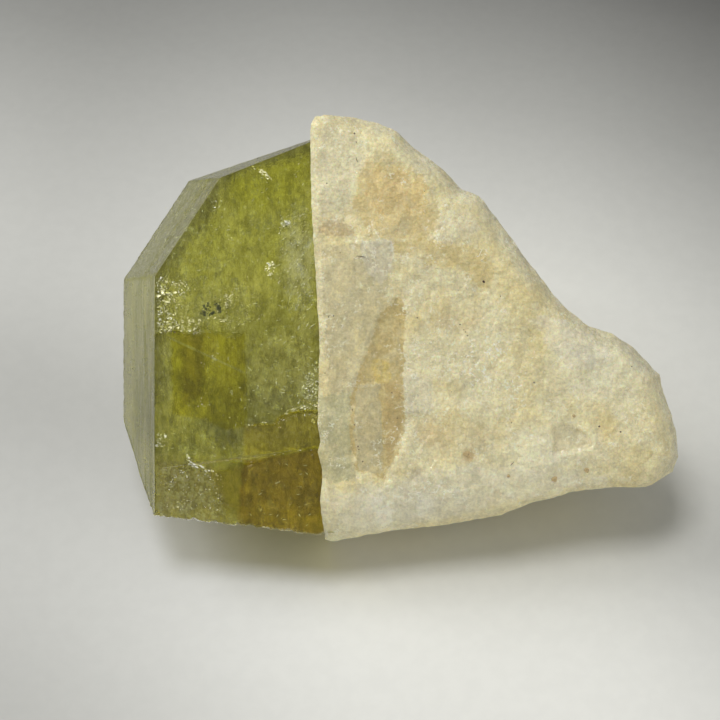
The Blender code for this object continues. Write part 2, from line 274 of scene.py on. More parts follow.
class Board:
    """A node tree with short calls that add nodes and join them."""

    def __init__(self, tree: bpy.types.NodeTree) -> None:
        """Args:
            tree: The tree to fill.
        """
        self.tree = tree

    def add(self, kind: str, **settings: object) -> bpy.types.Node:
        """Adds a node.

        Args:
            kind: Its type.
            settings: Its properties.

        Returns:
            The node.
        """
        node = self.tree.nodes.new(kind)
        for name, value in settings.items():
            setattr(node, name, value)
        return node

    def feed(self, target: bpy.types.NodeSocket, value: object) -> None:
        """Joins a socket to an input, or sets the input to a plain value."""
        if isinstance(value, bpy.types.NodeSocket):
            self.tree.links.new(value, target)
        else:
            target.default_value = (*value, 1.0) if target.type == "RGBA" and len(value) == 3 else value

    def math(self, operation: str, a: object, b: object = 0.0, clamp: bool = False) -> bpy.types.NodeSocket:
        """One step of arithmetic, as a socket."""
        node = self.add("ShaderNodeMath", operation=operation, use_clamp=clamp)
        self.feed(node.inputs[0], a)
        self.feed(node.inputs[1], b)
        return node.outputs[0]

    def spread(
        self, value: object, low: float, high: float, to: Point2 = (0.0, 1.0), kind: str = "SMOOTHSTEP"
    ) -> bpy.types.NodeSocket:
        """A step of a value from low to high, given out between two numbers."""
        node = self.add("ShaderNodeMapRange", interpolation_type=kind)
        for socket, number in zip(node.inputs, (value, low, high, *to)):
            self.feed(socket, number)
        return node.outputs[0]

    def blend(self, share: object, a: object, b: object, mode: str = "MIX") -> bpy.types.NodeSocket:
        """Two colours mixed by a share of the second."""
        node = self.add("ShaderNodeMix", data_type="RGBA", blend_type=mode)
        self.feed(node.inputs[0], share)
        self.feed(node.inputs[6], a)
        self.feed(node.inputs[7], b)
        return node.outputs[2]

    def noise(self, vector: object, scale: float, detail: float = 4.0, rough: float = 0.55) -> bpy.types.NodeSocket:
        """A noise texture's value, for places in millimetres."""
        node = self.add("ShaderNodeTexNoise")
        self.feed(node.inputs["Vector"], vector)
        for name, value in (("Scale", scale), ("Detail", detail), ("Roughness", rough)):
            self.feed(node.inputs[name], value)
        return node.outputs[0]

    def stretched(self, vector: object, scale: Sequence[float]) -> bpy.types.NodeSocket:
        """A place multiplied along each axis."""
        node = self.add("ShaderNodeVectorMath", operation="MULTIPLY")
        self.feed(node.inputs[0], vector)
        self.feed(node.inputs[1], scale)
        return node.outputs[0]

    def place(self) -> bpy.types.NodeSocket:
        """The place in the front's frame, in millimetres."""
        return self.group(EFFECTS.get(Effect.PLACE)).outputs[0]

    def mask(self, name: str) -> bpy.types.NodeSocket:
        """A value stored on the piece's points."""
        return self.add("ShaderNodeAttribute", attribute_name=name).outputs["Fac"]

    def group(self, tree: bpy.types.NodeTree, **values: object) -> bpy.types.Node:
        """Places a node group with its values, whose names have underscores for spaces."""
        node = self.add("ShaderNodeGroup", node_tree=tree)
        for name, value in values.items():
            self.feed(node.inputs[name.replace("_", " ")], value)
        return node


class Effect(Enum):
    """The node groups that more than one material uses."""

    PLACE = "Front Place"
    PATCH = "Soft Patch"
    GRAIN = "Sugar Grain"
    CLOUD = "Cloud"
    BLOCKS = "Cleavage Blocks"


class Effects:
    """Builds each shared node group once and hands it out."""

    def __init__(self) -> None:
        """Starts with no group built."""
        self.built: dict[Effect, bpy.types.NodeTree] = {}

    def get(self, effect: Effect) -> bpy.types.NodeTree:
        """The node group of an effect.

        Args:
            effect: Which one.

        Returns:
            The group's tree.
        """
        if effect not in self.built:
            makers = {
                Effect.PLACE: self.place, Effect.PATCH: self.patch, Effect.GRAIN: self.grain, Effect.CLOUD: self.cloud,
                Effect.BLOCKS: self.blocks,
            }
            self.built[effect] = makers[effect]()
        return self.built[effect]

    def start(self, effect: Effect, inputs: dict[str, object], outputs: dict[str, str]) -> tuple[Board, dict, dict]:
        """Makes an empty group with its sockets.

        Args:
            effect: The effect, which names the group.
            inputs: Each input's plain value, by name.
            outputs: Each output's socket type, by name.

        Returns:
            The board, the input sockets by name and the output sockets by name.
        """
        tree = bpy.data.node_groups.new(effect.value, "ShaderNodeTree")
        for name, value in inputs.items():
            kind = "NodeSocketFloat" if isinstance(value, float) else "NodeSocketVector"
            socket = tree.interface.new_socket(name, in_out="INPUT", socket_type=kind)
            socket.default_value = value
        for name, kind in outputs.items():
            tree.interface.new_socket(name, in_out="OUTPUT", socket_type=kind)
        board = Board(tree)
        entry, leave = board.add("NodeGroupInput"), board.add("NodeGroupOutput")
        return board, {s.name: s for s in entry.outputs}, {s.name: s for s in leave.inputs}

    def place(self) -> bpy.types.NodeTree:
        """The place in the front's frame, in millimetres, from the place on the specimen."""
        board, _, out = self.start(Effect.PLACE, {}, {"Place": "NodeSocketVector"})
        turn = board.add("ShaderNodeMapping", vector_type="TEXTURE")
        board.feed(turn.inputs["Vector"], board.add("ShaderNodeTexCoord").outputs["Object"])
        stand, _, _ = FRONT.matrix().decompose()
        turn.inputs["Location"].default_value = stand
        turn.inputs["Rotation"].default_value = (math.pi / 2 - FRONT.rise, 0.0, 0.0)
        turn.inputs["Scale"].default_value = (MM, MM, MM)
        board.feed(out["Place"], turn.outputs[0])
        return board.tree

    def patch(self) -> bpy.types.NodeTree:
        """A soft oval patch on the front with a ragged rim."""
        board, given, out = self.start(
            Effect.PATCH,
            {"Place": (0.0, 0.0, 0.0), "Centre": (0.0, 0.0, 0.0), "Reach": (1.0, 1.0, 30.0), "Ragged": 0.5, "Soft": 0.4},
            {"Mask": "NodeSocketFloat"},
        )
        shift = board.add("ShaderNodeVectorMath", operation="SUBTRACT")
        board.feed(shift.inputs[0], given["Place"])
        board.feed(shift.inputs[1], given["Centre"])
        share = board.add("ShaderNodeVectorMath", operation="DIVIDE")
        board.feed(share.inputs[0], shift.outputs[0])
        board.feed(share.inputs[1], given["Reach"])
        length = board.add("ShaderNodeVectorMath", operation="LENGTH")
        board.feed(length.inputs[0], share.outputs[0])
        wave = board.math("SUBTRACT", board.noise(given["Place"], 0.55, 5.0, 0.6), 0.5)
        ragged = board.math("ADD", length.outputs["Value"], board.math("MULTIPLY", wave, given["Ragged"]))
        inner = board.math("SUBTRACT", 1.0, given["Soft"])
        ramp = board.add("ShaderNodeMapRange", interpolation_type="SMOOTHSTEP")
        for socket, number in zip(ramp.inputs, (ragged, inner, 1.0, 1.0, 0.0)):
            board.feed(socket, number)
        board.feed(out["Mask"], ramp.outputs[0])
        return board.tree

    def grain(self) -> bpy.types.NodeTree:
        """Small tilted grains, as a height and as a brightness that differs from grain to grain."""
        board, given, out = self.start(
            Effect.GRAIN,
            {"Place": (0.0, 0.0, 0.0), "Fineness": 2.0},
            {"Height": "NodeSocketFloat", "Tone": "NodeSocketFloat"},
        )
        cells = board.add("ShaderNodeTexVoronoi", feature="F1")
        board.feed(cells.inputs["Vector"], given["Place"])
        board.feed(cells.inputs["Scale"], given["Fineness"])
        parts = board.add("ShaderNodeSeparateXYZ")
        board.feed(parts.inputs[0], cells.outputs["Color"])
        board.feed(out["Height"], board.math("SUBTRACT", board.math("MULTIPLY", parts.outputs[0], 0.6), cells.outputs["Distance"]))
        board.feed(out["Tone"], parts.outputs[1])
        return board.tree

    def blocks(self) -> bpy.types.NodeTree:
        """Blocky patches with ragged borders, as two values that differ from patch to patch."""
        board, given, out = self.start(
            Effect.BLOCKS,
            {"Place": (0.0, 0.0, 0.0), "Fineness": 0.4, "Warp": 0.5},
            {"Tone": "NodeSocketFloat", "Pick": "NodeSocketFloat"},
        )
        waves = board.add("ShaderNodeTexNoise")
        board.feed(waves.inputs["Vector"], given["Place"])
        for name, value in (("Scale", 1.3), ("Detail", 6.0), ("Roughness", 0.68)):
            waves.inputs[name].default_value = value
        middle = board.add("ShaderNodeVectorMath", operation="SUBTRACT")
        board.feed(middle.inputs[0], waves.outputs[1])
        board.feed(middle.inputs[1], (0.5, 0.5, 0.5))
        push = board.add("ShaderNodeVectorMath", operation="SCALE")
        board.feed(push.inputs[0], middle.outputs[0])
        board.feed(push.inputs["Scale"], given["Warp"])
        warped = board.add("ShaderNodeVectorMath", operation="ADD")
        board.feed(warped.inputs[0], given["Place"])
        board.feed(warped.inputs[1], push.outputs[0])
        cells = board.add("ShaderNodeTexVoronoi", feature="F1", distance="CHEBYCHEV")
        board.feed(cells.inputs["Vector"], warped.outputs[0])
        board.feed(cells.inputs["Scale"], given["Fineness"])
        parts = board.add("ShaderNodeSeparateXYZ")
        board.feed(parts.inputs[0], cells.outputs["Color"])
        board.feed(out["Tone"], parts.outputs[0])
        board.feed(out["Pick"], parts.outputs[1])
        return board.tree

    def cloud(self) -> bpy.types.NodeTree:
        """Cloudy wisps above a threshold of noise."""
        board, given, out = self.start(
            Effect.CLOUD,
            {"Place": (0.0, 0.0, 0.0), "Fineness": 1.0, "From": 0.5, "To": 0.7},
            {"Mask": "NodeSocketFloat"},
        )
        node = board.add("ShaderNodeTexNoise")
        board.feed(node.inputs["Vector"], given["Place"])
        board.feed(node.inputs["Scale"], given["Fineness"])
        node.inputs["Detail"].default_value = 6.0
        node.inputs["Roughness"].default_value = 0.62
        ramp = board.add("ShaderNodeMapRange", interpolation_type="SMOOTHSTEP")
        for socket, number in zip(ramp.inputs, (node.outputs[0], given["From"], given["To"], 0.0, 1.0)):
            board.feed(socket, number)
        board.feed(out["Mask"], ramp.outputs[0])
        return board.tree


EFFECTS = Effects()


def start_material(name: str) -> tuple[bpy.types.Material, Board, bpy.types.Node, bpy.types.Node]:
    """Makes a material with its shader.

    Args:
        name: The material's name.

    Returns:
        The material, its board, the shader and the output node.
    """
    material = bpy.data.materials.new(name)
    material.use_nodes = True
    nodes = material.node_tree.nodes
    return material, Board(material.node_tree), nodes["Principled BSDF"], nodes["Material Output"]


def dress(piece: bpy.types.Object, material: bpy.types.Material) -> None:
    """Gives a piece its finish."""
    piece.data.materials.clear()
    piece.data.materials.append(material)


@dataclass(frozen=True)
class Stain:
    """A soft patch of colour."""

    centre: Point2
    reach: Point2
    colour: Colour
    strength: float = 0.6
    ragged: float = 0.9
    soft: float = 0.8

    def mask(self, board: Board, place: bpy.types.NodeSocket, depth: float = 12.0) -> bpy.types.NodeSocket:
        """The patch's share at each place, reaching so deep into the specimen."""
        mask = board.group(
            EFFECTS.get(Effect.PATCH), Place=place, Centre=(*self.centre, 0.0), Reach=(*self.reach, depth),
            Ragged=self.ragged, Soft=self.soft,
        ).outputs[0]
        return board.math("MULTIPLY", mask, self.strength)

    def over(self, board: Board, place: bpy.types.NodeSocket, colour: object, depth: float = 12.0) -> bpy.types.NodeSocket:
        """Lays the patch over a colour.

        Args:
            board: The material's board.
            place: The place in the front's frame.
            colour: The colour underneath.
            depth: How deep the patch reaches into the specimen.

        Returns:
            The new colour.
        """
        return board.blend(self.mask(board, place, depth), colour, self.colour)


@dataclass(frozen=True)
class Zone:
    """A sharply edged area of the rock's front, with its own height, colour and smoothness."""

    name: str
    corners: tuple[Point2, ...]
    rise: float
    colour: Colour
    strength: float = 0.6
    smooth: float = 0.0
    soft: float = 0.12

    def share(self, outline: Outline, points: np.ndarray) -> np.ndarray:
        """How much of the zone covers each point, from 0 outside its rim to 1 inside."""
        side = np.where(outline.holds(points), 1.0, -1.0) * outline.distance(points)
        return np.clip(0.5 + side / (2.0 * self.soft), 0.0, 1.0)


ROCK_ZONES = (
    Zone("orange_patch", (
        (-3.9, 18.0), (-1.6, 17.7), (1.0, 17.2), (3.0, 15.7), (2.9, 13.9), (3.5, 12.4), (5.1, 10.8), (2.5, 9.6),
        (-0.8, 9.6), (-3.4, 10.3), (-5.1, 12.6), (-4.6, 16.2),
    ), -0.04, (0.83, 0.67, 0.31), 0.75, 0.3, 0.8),
    Zone("orange_heart", ((-3.0, 17.2), (0.6, 16.8), (2.6, 15.2), (1.8, 12.6), (-2.2, 12.0), (-3.8, 14.4)),
         0.0, (0.80, 0.60, 0.26), 0.45, 0.2, 0.9),
    Zone("tan_smear", ((-8.7, 10.8), (-7.4, 11.9), (-5.1, 11.3), (-4.8, 10.1), (-7.2, 9.8)),
         0.0, (0.62, 0.49, 0.26), 0.7, 0.2, 0.7),
    Zone("tan_band", (
        (-0.8, 9.5), (3.3, 9.8), (7.1, 9.2), (8.8, 8.3), (10.1, 6.8), (9.6, 4.3), (7.6, 5.1), (6.1, 6.9), (2.5, 6.7),
        (2.0, 8.0), (-0.8, 8.2),
    ), -0.05, (0.73, 0.60, 0.27), 0.75, 0.2, 0.6),
    Zone("white_shoulder", ((-8.6, 21.6), (-5.4, 21.4), (-4.6, 17.4), (-5.3, 13.0), (-8.6, 13.0)),
         0.06, (0.90, 0.84, 0.58), 0.5, 0.2, 0.7),
    Zone("white_patch", ((-4.4, 9.4), (-0.9, 9.6), (-0.7, 6.6), (-2.2, 4.6), (-3.6, 6.2)),
         0.10, (0.92, 0.90, 0.76), 0.9, 0.3, 0.4),
    Zone("white_drift", ((4.2, 12.6), (7.4, 13.0), (8.6, 10.8), (6.4, 9.0), (3.6, 9.4)),
         0.06, (0.88, 0.83, 0.62), 0.5, 0.2, 0.7),
    Zone("plate", (
        (-8.4, 8.8), (-1.1, 9.6), (-0.8, 6.4), (-2.1, 1.1), (-3.1, -1.6), (-4.0, -5.9), (-5.1, -6.6), (-7.9, -7.0),
        (-7.8, 0.0), (-8.3, 4.3),
    ), 0.14, (0.63, 0.56, 0.33), 0.7, 0.8, 0.5),
    Zone("lower_plate", (
        (-8.8, -7.0), (-5.1, -6.6), (-5.2, -11.7), (-5.0, -15.5), (-6.6, -16.4), (-8.8, -15.6), (-9.0, -11.7),
    ), -0.03, (0.53, 0.51, 0.29), 0.75, 0.6, 0.5),
    Zone("recess", (
        (-3.4, -1.9), (-3.0, -0.6), (-2.1, 1.7), (-0.6, 3.2), (0.3, 3.2), (0.5, 0.7), (0.3, -4.9), (0.5, -9.0),
        (0.3, -11.1), (-0.5, -13.1), (-1.8, -16.1), (-3.3, -15.2), (-4.6, -15.4), (-5.3, -12.6), (-5.2, -7.0),
        (-4.6, -5.2),
    ), -0.20, (0.62, 0.49, 0.20), 0.85, 0.7, 0.4),
    Zone("pale_column", ((-4.7, -5.8), (-2.1, -5.6), (-1.9, -15.3), (-4.4, -15.0), (-5.0, -10.7)), 0.13,
         (0.62, 0.56, 0.34), 0.8, 0.7, 0.25),
    Zone("brown_column", ((-1.8, -5.6), (0.0, -5.5), (0.2, -10.6), (-0.6, -13.0), (-1.5, -14.6), (-1.7, -10.7)), 0.04,
         (0.60, 0.46, 0.20), 0.8, 0.7, 0.25),
    Zone("yellow_corner", ((-2.9, -3.3), (-1.1, -3.2), (-1.0, -5.5), (-2.8, -5.6)), 0.03, (0.78, 0.62, 0.20), 0.8, 0.5, 0.4),
    Zone("stepped", ((0.4, -4.7), (3.3, -4.7), (3.4, -8.8), (0.5, -8.9)), 0.08, (0.80, 0.75, 0.54), 0.7, 0.5, 0.35),
    Zone("lobe", (
        (13.6, 1.1), (15.4, -0.5), (15.7, -2.1), (18.1, -4.3), (20.6, -4.0), (23.6, -2.9), (21.0, -0.8), (17.7, 1.2),
        (15.4, 1.6),
    ), 0.25, (0.84, 0.80, 0.66), 0.5, 0.2, 0.5),
    Zone("pocket", ((16.3, -10.3), (17.7, -10.0), (20.2, -11.3), (20.4, -12.3), (19.2, -12.9), (16.6, -13.2)), -0.22,
         (0.70, 0.62, 0.38), 0.6, 0.8, 0.3),
    Zone("low_step", (
        (0.4, -15.8), (7.4, -14.3), (17.0, -15.0), (24.6, -16.1), (20.1, -16.6), (13.1, -18.2), (4.2, -20.2),
        (-5.9, -21.9), (-6.4, -20.3), (-3.0, -17.8),
    ), 0.08, (0.88, 0.84, 0.66), 0.4, 0.3, 0.9),
)


@dataclass(frozen=True)
class RockFinish:
    """Cream-white sugary rock with tan stains, a little light-passing."""

    cream: Colour = (0.855, 0.75, 0.405)
    white: Colour = (0.885, 0.815, 0.52)
    grey: Colour = (0.74, 0.67, 0.45)
    # colour of the painted shade along the upper rim
    rim: Colour = (0.66, 0.63, 0.50)
    # colour of the painted glints
    painted_sparkle: Colour = (1.0, 0.99, 0.80)
    stains: tuple[Stain, ...] = (
        Stain((22.0, -5.0), (7.0, 5.5), (0.93, 0.89, 0.66), 0.7),
        Stain((16.0, -13.0), (9.0, 4.0), (0.93, 0.88, 0.64), 0.7),
        Stain((0.0, -18.6), (10.0, 3.4), (0.94, 0.90, 0.70), 0.85),
        Stain((8.4, 6.0), (1.1, 1.4), (0.78, 0.58, 0.14), 0.7, 1.6, 0.9),
        Stain((6.0, 1.0), (4.0, 1.6), (0.72, 0.58, 0.34), 0.4),
        Stain((22.2, -10.4), (1.7, 3.0), (0.78, 0.64, 0.28), 0.55),
        Stain((15.2, -5.4), (3.4, 3.2), (0.70, 0.62, 0.36), 0.45),
        Stain((7.3, -13.3), (1.1, 1.0), (0.70, 0.46, 0.18), 0.6),
        Stain((3.4, -11.0), (3.4, 2.6), (0.74, 0.60, 0.34), 0.5),
        Stain((8.6, -11.6), (4.6, 2.4), (0.76, 0.66, 0.38), 0.45),
        Stain((1.9, -15.4), (1.4, 1.0), (0.60, 0.52, 0.40), 0.5),
    )
    # patches where the painted glints gather
    glints: tuple[Stain, ...] = (
        Stain((8.6, -3.4), (5.0, 3.6), (1, 1, 1), 0.9, 1.4), Stain((-7.8, 7.8), (1.3, 1.7), (1, 1, 1), 0.9),
        Stain((-0.2, 8.0), (1.8, 1.2), (1, 1, 1), 1.0), Stain((1.0, -17.4), (6.5, 1.7), (1, 1, 1), 0.8, 1.4),
        Stain((12.4, -7.0), (2.6, 3.0), (1, 1, 1), 0.7, 1.4), Stain((8.8, 8.0), (1.6, 1.0), (1, 1, 1), 0.8),
    )

    def material(self) -> bpy.types.Material:
        """Builds the material.

        Returns:
            The rock's material.
        """
        material, board, shader, _ = start_material("feldspar_rock")
        place = board.place()
        colour = board.blend(self.clouds(board, place, 0.16, 0.40, 0.62), self.cream, self.white)
        grey = board.math("MULTIPLY", self.clouds(board, place, 0.42, 0.52, 0.70), 0.3)
        colour = board.blend(grey, colour, self.grey)
        for stain in self.stains:
            colour = stain.over(board, place, colour)
        blocks = board.group(EFFECTS.get(Effect.BLOCKS), Place=board.stretched(place, (1.0, 0.6, 1.0)), Fineness=0.5, Warp=0.9)
        chips = board.group(EFFECTS.get(Effect.BLOCKS), Place=place, Fineness=1.25, Warp=0.5)
        lucky = board.math("MULTIPLY", board.spread(blocks.outputs["Pick"], 0.66, 0.70), 0.5)
        colour = board.blend(lucky, colour, self.white)
        # painted shade: a greyer colour along the upper rim, where the front turns away from the light
        rim = board.math("MULTIPLY", board.mask("rim"), board.spread(board.noise(place, 0.8, 5.0), 0.35, 0.6, (0.2, 0.6)))
        colour = board.blend(rim, colour, self.rim)
        edge = board.math("MULTIPLY", board.math("SUBTRACT", board.noise(place, 1.1, 7.0, 0.68), 0.5), 1.7)
        worn = board.spread(board.noise(place, 0.7, 6.0, 0.66), 0.36, 0.56, (0.5, 1.0))
        for zone in ROCK_ZONES:
            crisp = board.spread(board.math("ADD", board.mask(zone.name), edge), 0.36, 0.64)
            share = board.math("MULTIPLY", crisp, board.math("MULTIPLY", worn, zone.strength))
            colour = board.blend(share, colour, zone.colour)
        grain = board.group(EFFECTS.get(Effect.GRAIN), Place=place, Fineness=1.7)
        fine = board.group(EFFECTS.get(Effect.GRAIN), Place=place, Fineness=4.0)
        smooth = board.mask("smooth")
        tone = board.spread(grain.outputs["Tone"], 0.0, 1.0, (0.97, 1.03))
        for value, low, high in (
            (fine.outputs["Tone"], 0.93, 1.04), (blocks.outputs["Tone"], 0.93, 1.03), (chips.outputs["Tone"], 0.92, 1.05),
        ):
            tone = board.math("MULTIPLY", tone, board.spread(value, 0.0, 1.0, (low, high)))
        streak = board.noise(board.stretched(place, (3.0, 0.35, 3.0)), 0.9, 4.0)
        tone = board.math("MULTIPLY", tone, board.spread(streak, 0.3, 0.7, (0.96, 1.03)))
        tone = board.math("MULTIPLY", tone, board.spread(board.noise(place, 3.6, 4.0, 0.7), 0.36, 0.64, (0.92, 1.07)))
        grey_tone = board.add("ShaderNodeCombineColor")
        for socket in grey_tone.inputs:
            board.feed(socket, tone)
        colour = board.blend(1.0, colour, grey_tone.outputs[0], "MULTIPLY")
        painted_sparkle = self.painted_sparkles(board, place)
        # painted glints are mixed into the base colour
        board.feed(shader.inputs["Base Color"], board.blend(painted_sparkle, colour, self.painted_sparkle))
        rough = board.spread(fine.outputs["Tone"], 0.7, 0.98, (0.6, 0.25))
        board.feed(shader.inputs["Roughness"], board.math("SUBTRACT", rough, board.math("MULTIPLY", painted_sparkle, 0.2)))
        shader.inputs["Subsurface Weight"].default_value = 0.45
        shader.inputs["Subsurface Radius"].default_value = (1.0, 0.75, 0.40)
        shader.inputs["Subsurface Scale"].default_value = 0.0009
        shader.inputs["IOR"].default_value = 1.53
        bump = board.add("ShaderNodeBump")
        bump.inputs["Strength"].default_value = 0.8
        bump.inputs["Distance"].default_value = 0.00012
        height = board.math("MULTIPLY", grain.outputs["Height"], 0.7)
        for value, amount in ((fine.outputs["Height"], 0.30), (blocks.outputs["Tone"], 0.9), (chips.outputs["Tone"], 0.5)):
            height = board.math("ADD", height, board.math("MULTIPLY", value, amount))
        board.feed(bump.inputs["Height"], board.math("MULTIPLY", height, board.spread(smooth, 0.0, 1.0, (1.0, 0.4))))
        board.feed(shader.inputs["Normal"], bump.outputs[0])
        return material

    def clouds(self, board: Board, place: object, size: float, low: float, high: float) -> bpy.types.NodeSocket:
        """A cloudy mask of one size."""
        return board.group(EFFECTS.get(Effect.CLOUD), Place=place, Fineness=size, From=low, To=high).outputs[0]

    def painted_sparkles(self, board: Board, place: bpy.types.NodeSocket) -> bpy.types.NodeSocket:
        """Painted glints: bright points laid into the colour in place of light caught by single grains, gathered in
        drifts.

        Args:
            board: The material's board.
            place: The place in the front's frame.

        Returns:
            The mask.
        """
        waves = board.noise(place, 1.5, 2.0, 0.6)
        curls = board.spread(board.math("ABSOLUTE", board.math("SUBTRACT", waves, 0.5)), 0.018, 0.050, (1.0, 0.0))
        broken = board.spread(board.noise(place, 2.0, 3.0), 0.49, 0.55)
        drift = board.math("ADD", 0.05, board.math("MULTIPLY", self.clouds(board, place, 0.30, 0.48, 0.58), 0.6))
        for glint in self.glints:
            drift = board.math("ADD", drift, glint.mask(board, place))
        wide = board.math("MULTIPLY", curls, board.math("MULTIPLY", broken, drift))
        return board.math("MULTIPLY", wide, 0.95)


@dataclass
class Rock:
    """The wedge of rock: a broad sugary front with plates and hollows, rough walls and a flat break underneath."""

    outline: Sequence[Point2] = (
        (-9.6, 20.9), (-9.5, 21.9), (-9.0, 22.6), (-8.1, 22.9), (-5.2, 22.9), (-2.5, 22.3), (-0.3, 21.4), (1.1, 20.0), (4.6, 17.4), (6.7, 15.2),
        (8.5, 14.5), (11.1, 11.3), (13.9, 7.4), (16.6, 3.9), (18.2, 2.2), (20.5, 0.4), (22.9, -0.3), (25.1, -1.7),
        (28.0, -4.8), (28.4, -6.7), (29.9, -10.6), (30.2, -13.6), (29.7, -15.4), (26.7, -16.9), (22.1, -17.0),
        (18.7, -17.4), (13.9, -18.7), (11.0, -19.9), (5.2, -21.0), (-0.7, -21.6), (-7.4, -22.8), (-8.1, -22.5),
        (-8.5, -18.3), (-8.3, -14.9), (-8.8, -13.0), (-8.5, -11.9), (-8.8, -9.8), (-8.6, -1.1), (-9.2, 8.6),
        (-9.5, 16.0),
    )
    middle: Point2 = (-5.0, -3.0)
    lip: float = 1.6
    fall: float = 0.045
    back: Sequence[Point2] = ((-9.0, -25.0), (4.0, -27.0), (20.0, -19.0), (30.0, -12.0))
    bulge: float = 0.03
    back_scale: float = 0.76
    front_step: float = 0.27
    wall_step: float = 0.55
    front_share: float = 0.4
    wall_share: float = 0.4
    wall_inset: float = 0.22

    def block_height(self, place: Vector) -> float:
        """The rock's large broken relief at a place, in millimetres."""
        height = 0.5 * noise.noise(place / 7.0)
        for size, amount in ((4.5, 0.9), (1.9, 0.5)):
            height += amount * noise.noise(place / size + Vector((3.1, 7.7, 1.3)))
        return height

    def fine_height(self, place: Vector) -> float:
        """The small grain of the rock at a place, in millimetres."""
        return 0.5 * grain_facet(place, 1.3, 0.22) + 0.6 * grain_facet(place + Vector((9, 4, 2)), 0.6, 0.2)

    def front_heights(self, points: np.ndarray, zones: Sequence[Outline]) -> np.ndarray:
        """How far the front stands out at many points.

        Args:
            points: Rows of u and v.
            zones: The zones' outlines.

        Returns:
            The heights in millimetres.
        """
        near = Outline(self.outline).distance(points)
        self.shares = [zone.share(outline, points) for outline, zone in zip(zones, ROCK_ZONES)]
        self.calm = np.zeros(len(points))
        for share, zone in zip(self.shares, ROCK_ZONES):
            self.calm = self.calm * (1.0 - share) + zone.smooth * share
        heights, self.rim = np.zeros(len(points)), np.zeros(len(points))
        for i, (u, v) in enumerate(points):
            upper = ease((v + 3.0 + 0.5 * u) / 3.0) * ease((u + 9.4) / 5.0)
            roll, drop = 0.9 + 1.7 * upper, 0.5 + 1.7 * upper
            # share of the painted shade along the upper edge
            self.rim[i] = upper * max(0.0, 1.0 - near[i] / 2.0)
            height = self.lip - self.fall * (u + 9.2)
            if near[i] < roll:
                height -= drop * (1.0 - near[i] / roll) ** 2
            height -= 0.05 * max(0.0, -15.0 - v + 0.12 * u) ** 2
            place = Vector((u, v, 0.0))
            share = (1.0 - 0.7 * self.calm[i]) * self.front_share
            heights[i] = height + share * self.block_height(place) + (1.0 - 0.8 * self.calm[i]) * self.fine_height(place)
        for share, zone in zip(self.shares, ROCK_ZONES):
            heights += zone.rise * share
        return heights

    def back_height(self, u: float, v: float) -> float:
        """How far back the rock reaches behind a point of its front."""
        depth = float(np.interp(u, [p[0] for p in self.back], [p[1] for p in self.back]))
        return depth + 1.6 * self.block_height(Vector((u, v, 30.0))) + 0.004 * (v + 3.0) ** 2

    def wall_scale(self, share: float) -> float:
        """How wide the rock is at a share of its depth."""
        return 1.0 + self.bulge * math.sin(math.pi * share) - (1.0 - self.back_scale) * share ** 2.6

    def wall_rings(self, ring: np.ndarray, fronts: np.ndarray) -> list[list[Vector]]:
        """The closed rings of points behind the front's edge, down to the back's edge.

        Args:
            ring: The front's edge, as rows of u and v.
            fronts: How far each of its points stands out.

        Returns:
            One list of points a ring.
        """
        middle, count = np.array(self.middle), round(26.0 / self.wall_step)
        depths = [self.back_height(u, v) for u, v in ring]
        rings = []
        for j in range(1, count + 1):
            share = j / count
            points = []
            for (u, v), front, depth in zip(ring, fronts, depths):
                su, sv = middle + (np.array((u, v)) - middle) * self.wall_scale(share)
                place = Vector((su, sv, front * (1 - share) + depth * share))
                out = Vector((su - middle[0], sv - middle[1], 0.0)).normalized()
                reach = ease(share * 9) * ease((1 - share) * 12)
                relief = self.wall_share * self.block_height(place) + 1.5 * self.fine_height(place)
                place += out * reach * (relief - self.wall_inset)
                points.append(self.seated(place))
            rings.append(points)
        return rings

    def seated(self, place: Vector) -> Vector:
        """The place, or where it lies beyond the crystal's end, the nearest place of the crystal's seat."""
        low, high = -22.5 - 0.122 * place.z, 20.2 - 0.05 * place.z
        if not low < place.y < high or not -CRYSTAL.depth < place.z < 0.0 or place.x > -4.0:
            return place
        wedge = CRYSTAL.seat_start + 1.74 * min(-place.z, CRYSTAL.depth + place.z)
        return Vector((max(place.x, min(wedge, CRYSTAL.end) + 0.06), place.y, place.z))

    def build(self) -> bpy.types.Object:
        """Builds the rock.

        Returns:
            The piece.
        """
        zones = [Outline(z.corners).ragged(0.4, 0.26, 1.2, 3.0 + i) for i, z in enumerate(ROCK_ZONES)]
        ring = Outline(self.outline).ragged(0.36, 0.10, 1.1, 1.0)
        sharp = [(line, zone.soft) for line, zone in zip(zones, ROCK_ZONES) if zone.soft < 0.3]
        lines = [line.offset(side) for line, soft in sharp for side in (soft, -soft)]
        flat, faces = Sheet(ring, self.front_step, lines).triangles()
        count = len(ring.points)
        heights = self.front_heights(flat, zones)
        points = [Vector((u, v, h)) for (u, v), h in zip(flat, heights)]
        faces = [tuple(face) for face in faces]
        rings = self.wall_rings(ring.points, heights[:count])
        starts = [0]
        for loop in rings:
            starts.append(len(points))
            points += loop
        for first, second in zip(starts, starts[1:]):
            for i in range(count):
                j = (i + 1) % count
                faces.append((first + j, first + i, second + i, second + j))
        edge = Outline([(p.x, p.y) for p in rings[-1]])
        back_flat, back_faces = Sheet(edge, self.wall_step * 1.3, seed=9).triangles()
        first = len(points)
        points += [Vector((u, v, self.back_height(u, v))) for u, v in back_flat[count:]]
        remap = [starts[-1] + i for i in range(count)] + [first + i for i in range(len(back_flat) - count)]
        faces += [tuple(remap[i] for i in reversed(face)) for face in back_faces]
        piece = new_piece("matrix_rock", self.rest(points), faces, replaces="matrix")
        for zone, share in zip(ROCK_ZONES, self.shares):
            add_mask(piece, zone.name, self.padded(share, len(points)))
        add_mask(piece, "smooth", self.padded(self.calm, len(points)))
        add_mask(piece, "rim", self.padded(self.rim, len(points)))
        return piece

    def padded(self, values: np.ndarray, count: int) -> np.ndarray:
        """The front's values followed by zeros for the walls and back."""
        return np.concatenate([np.asarray(values, float), np.zeros(count - len(values))])

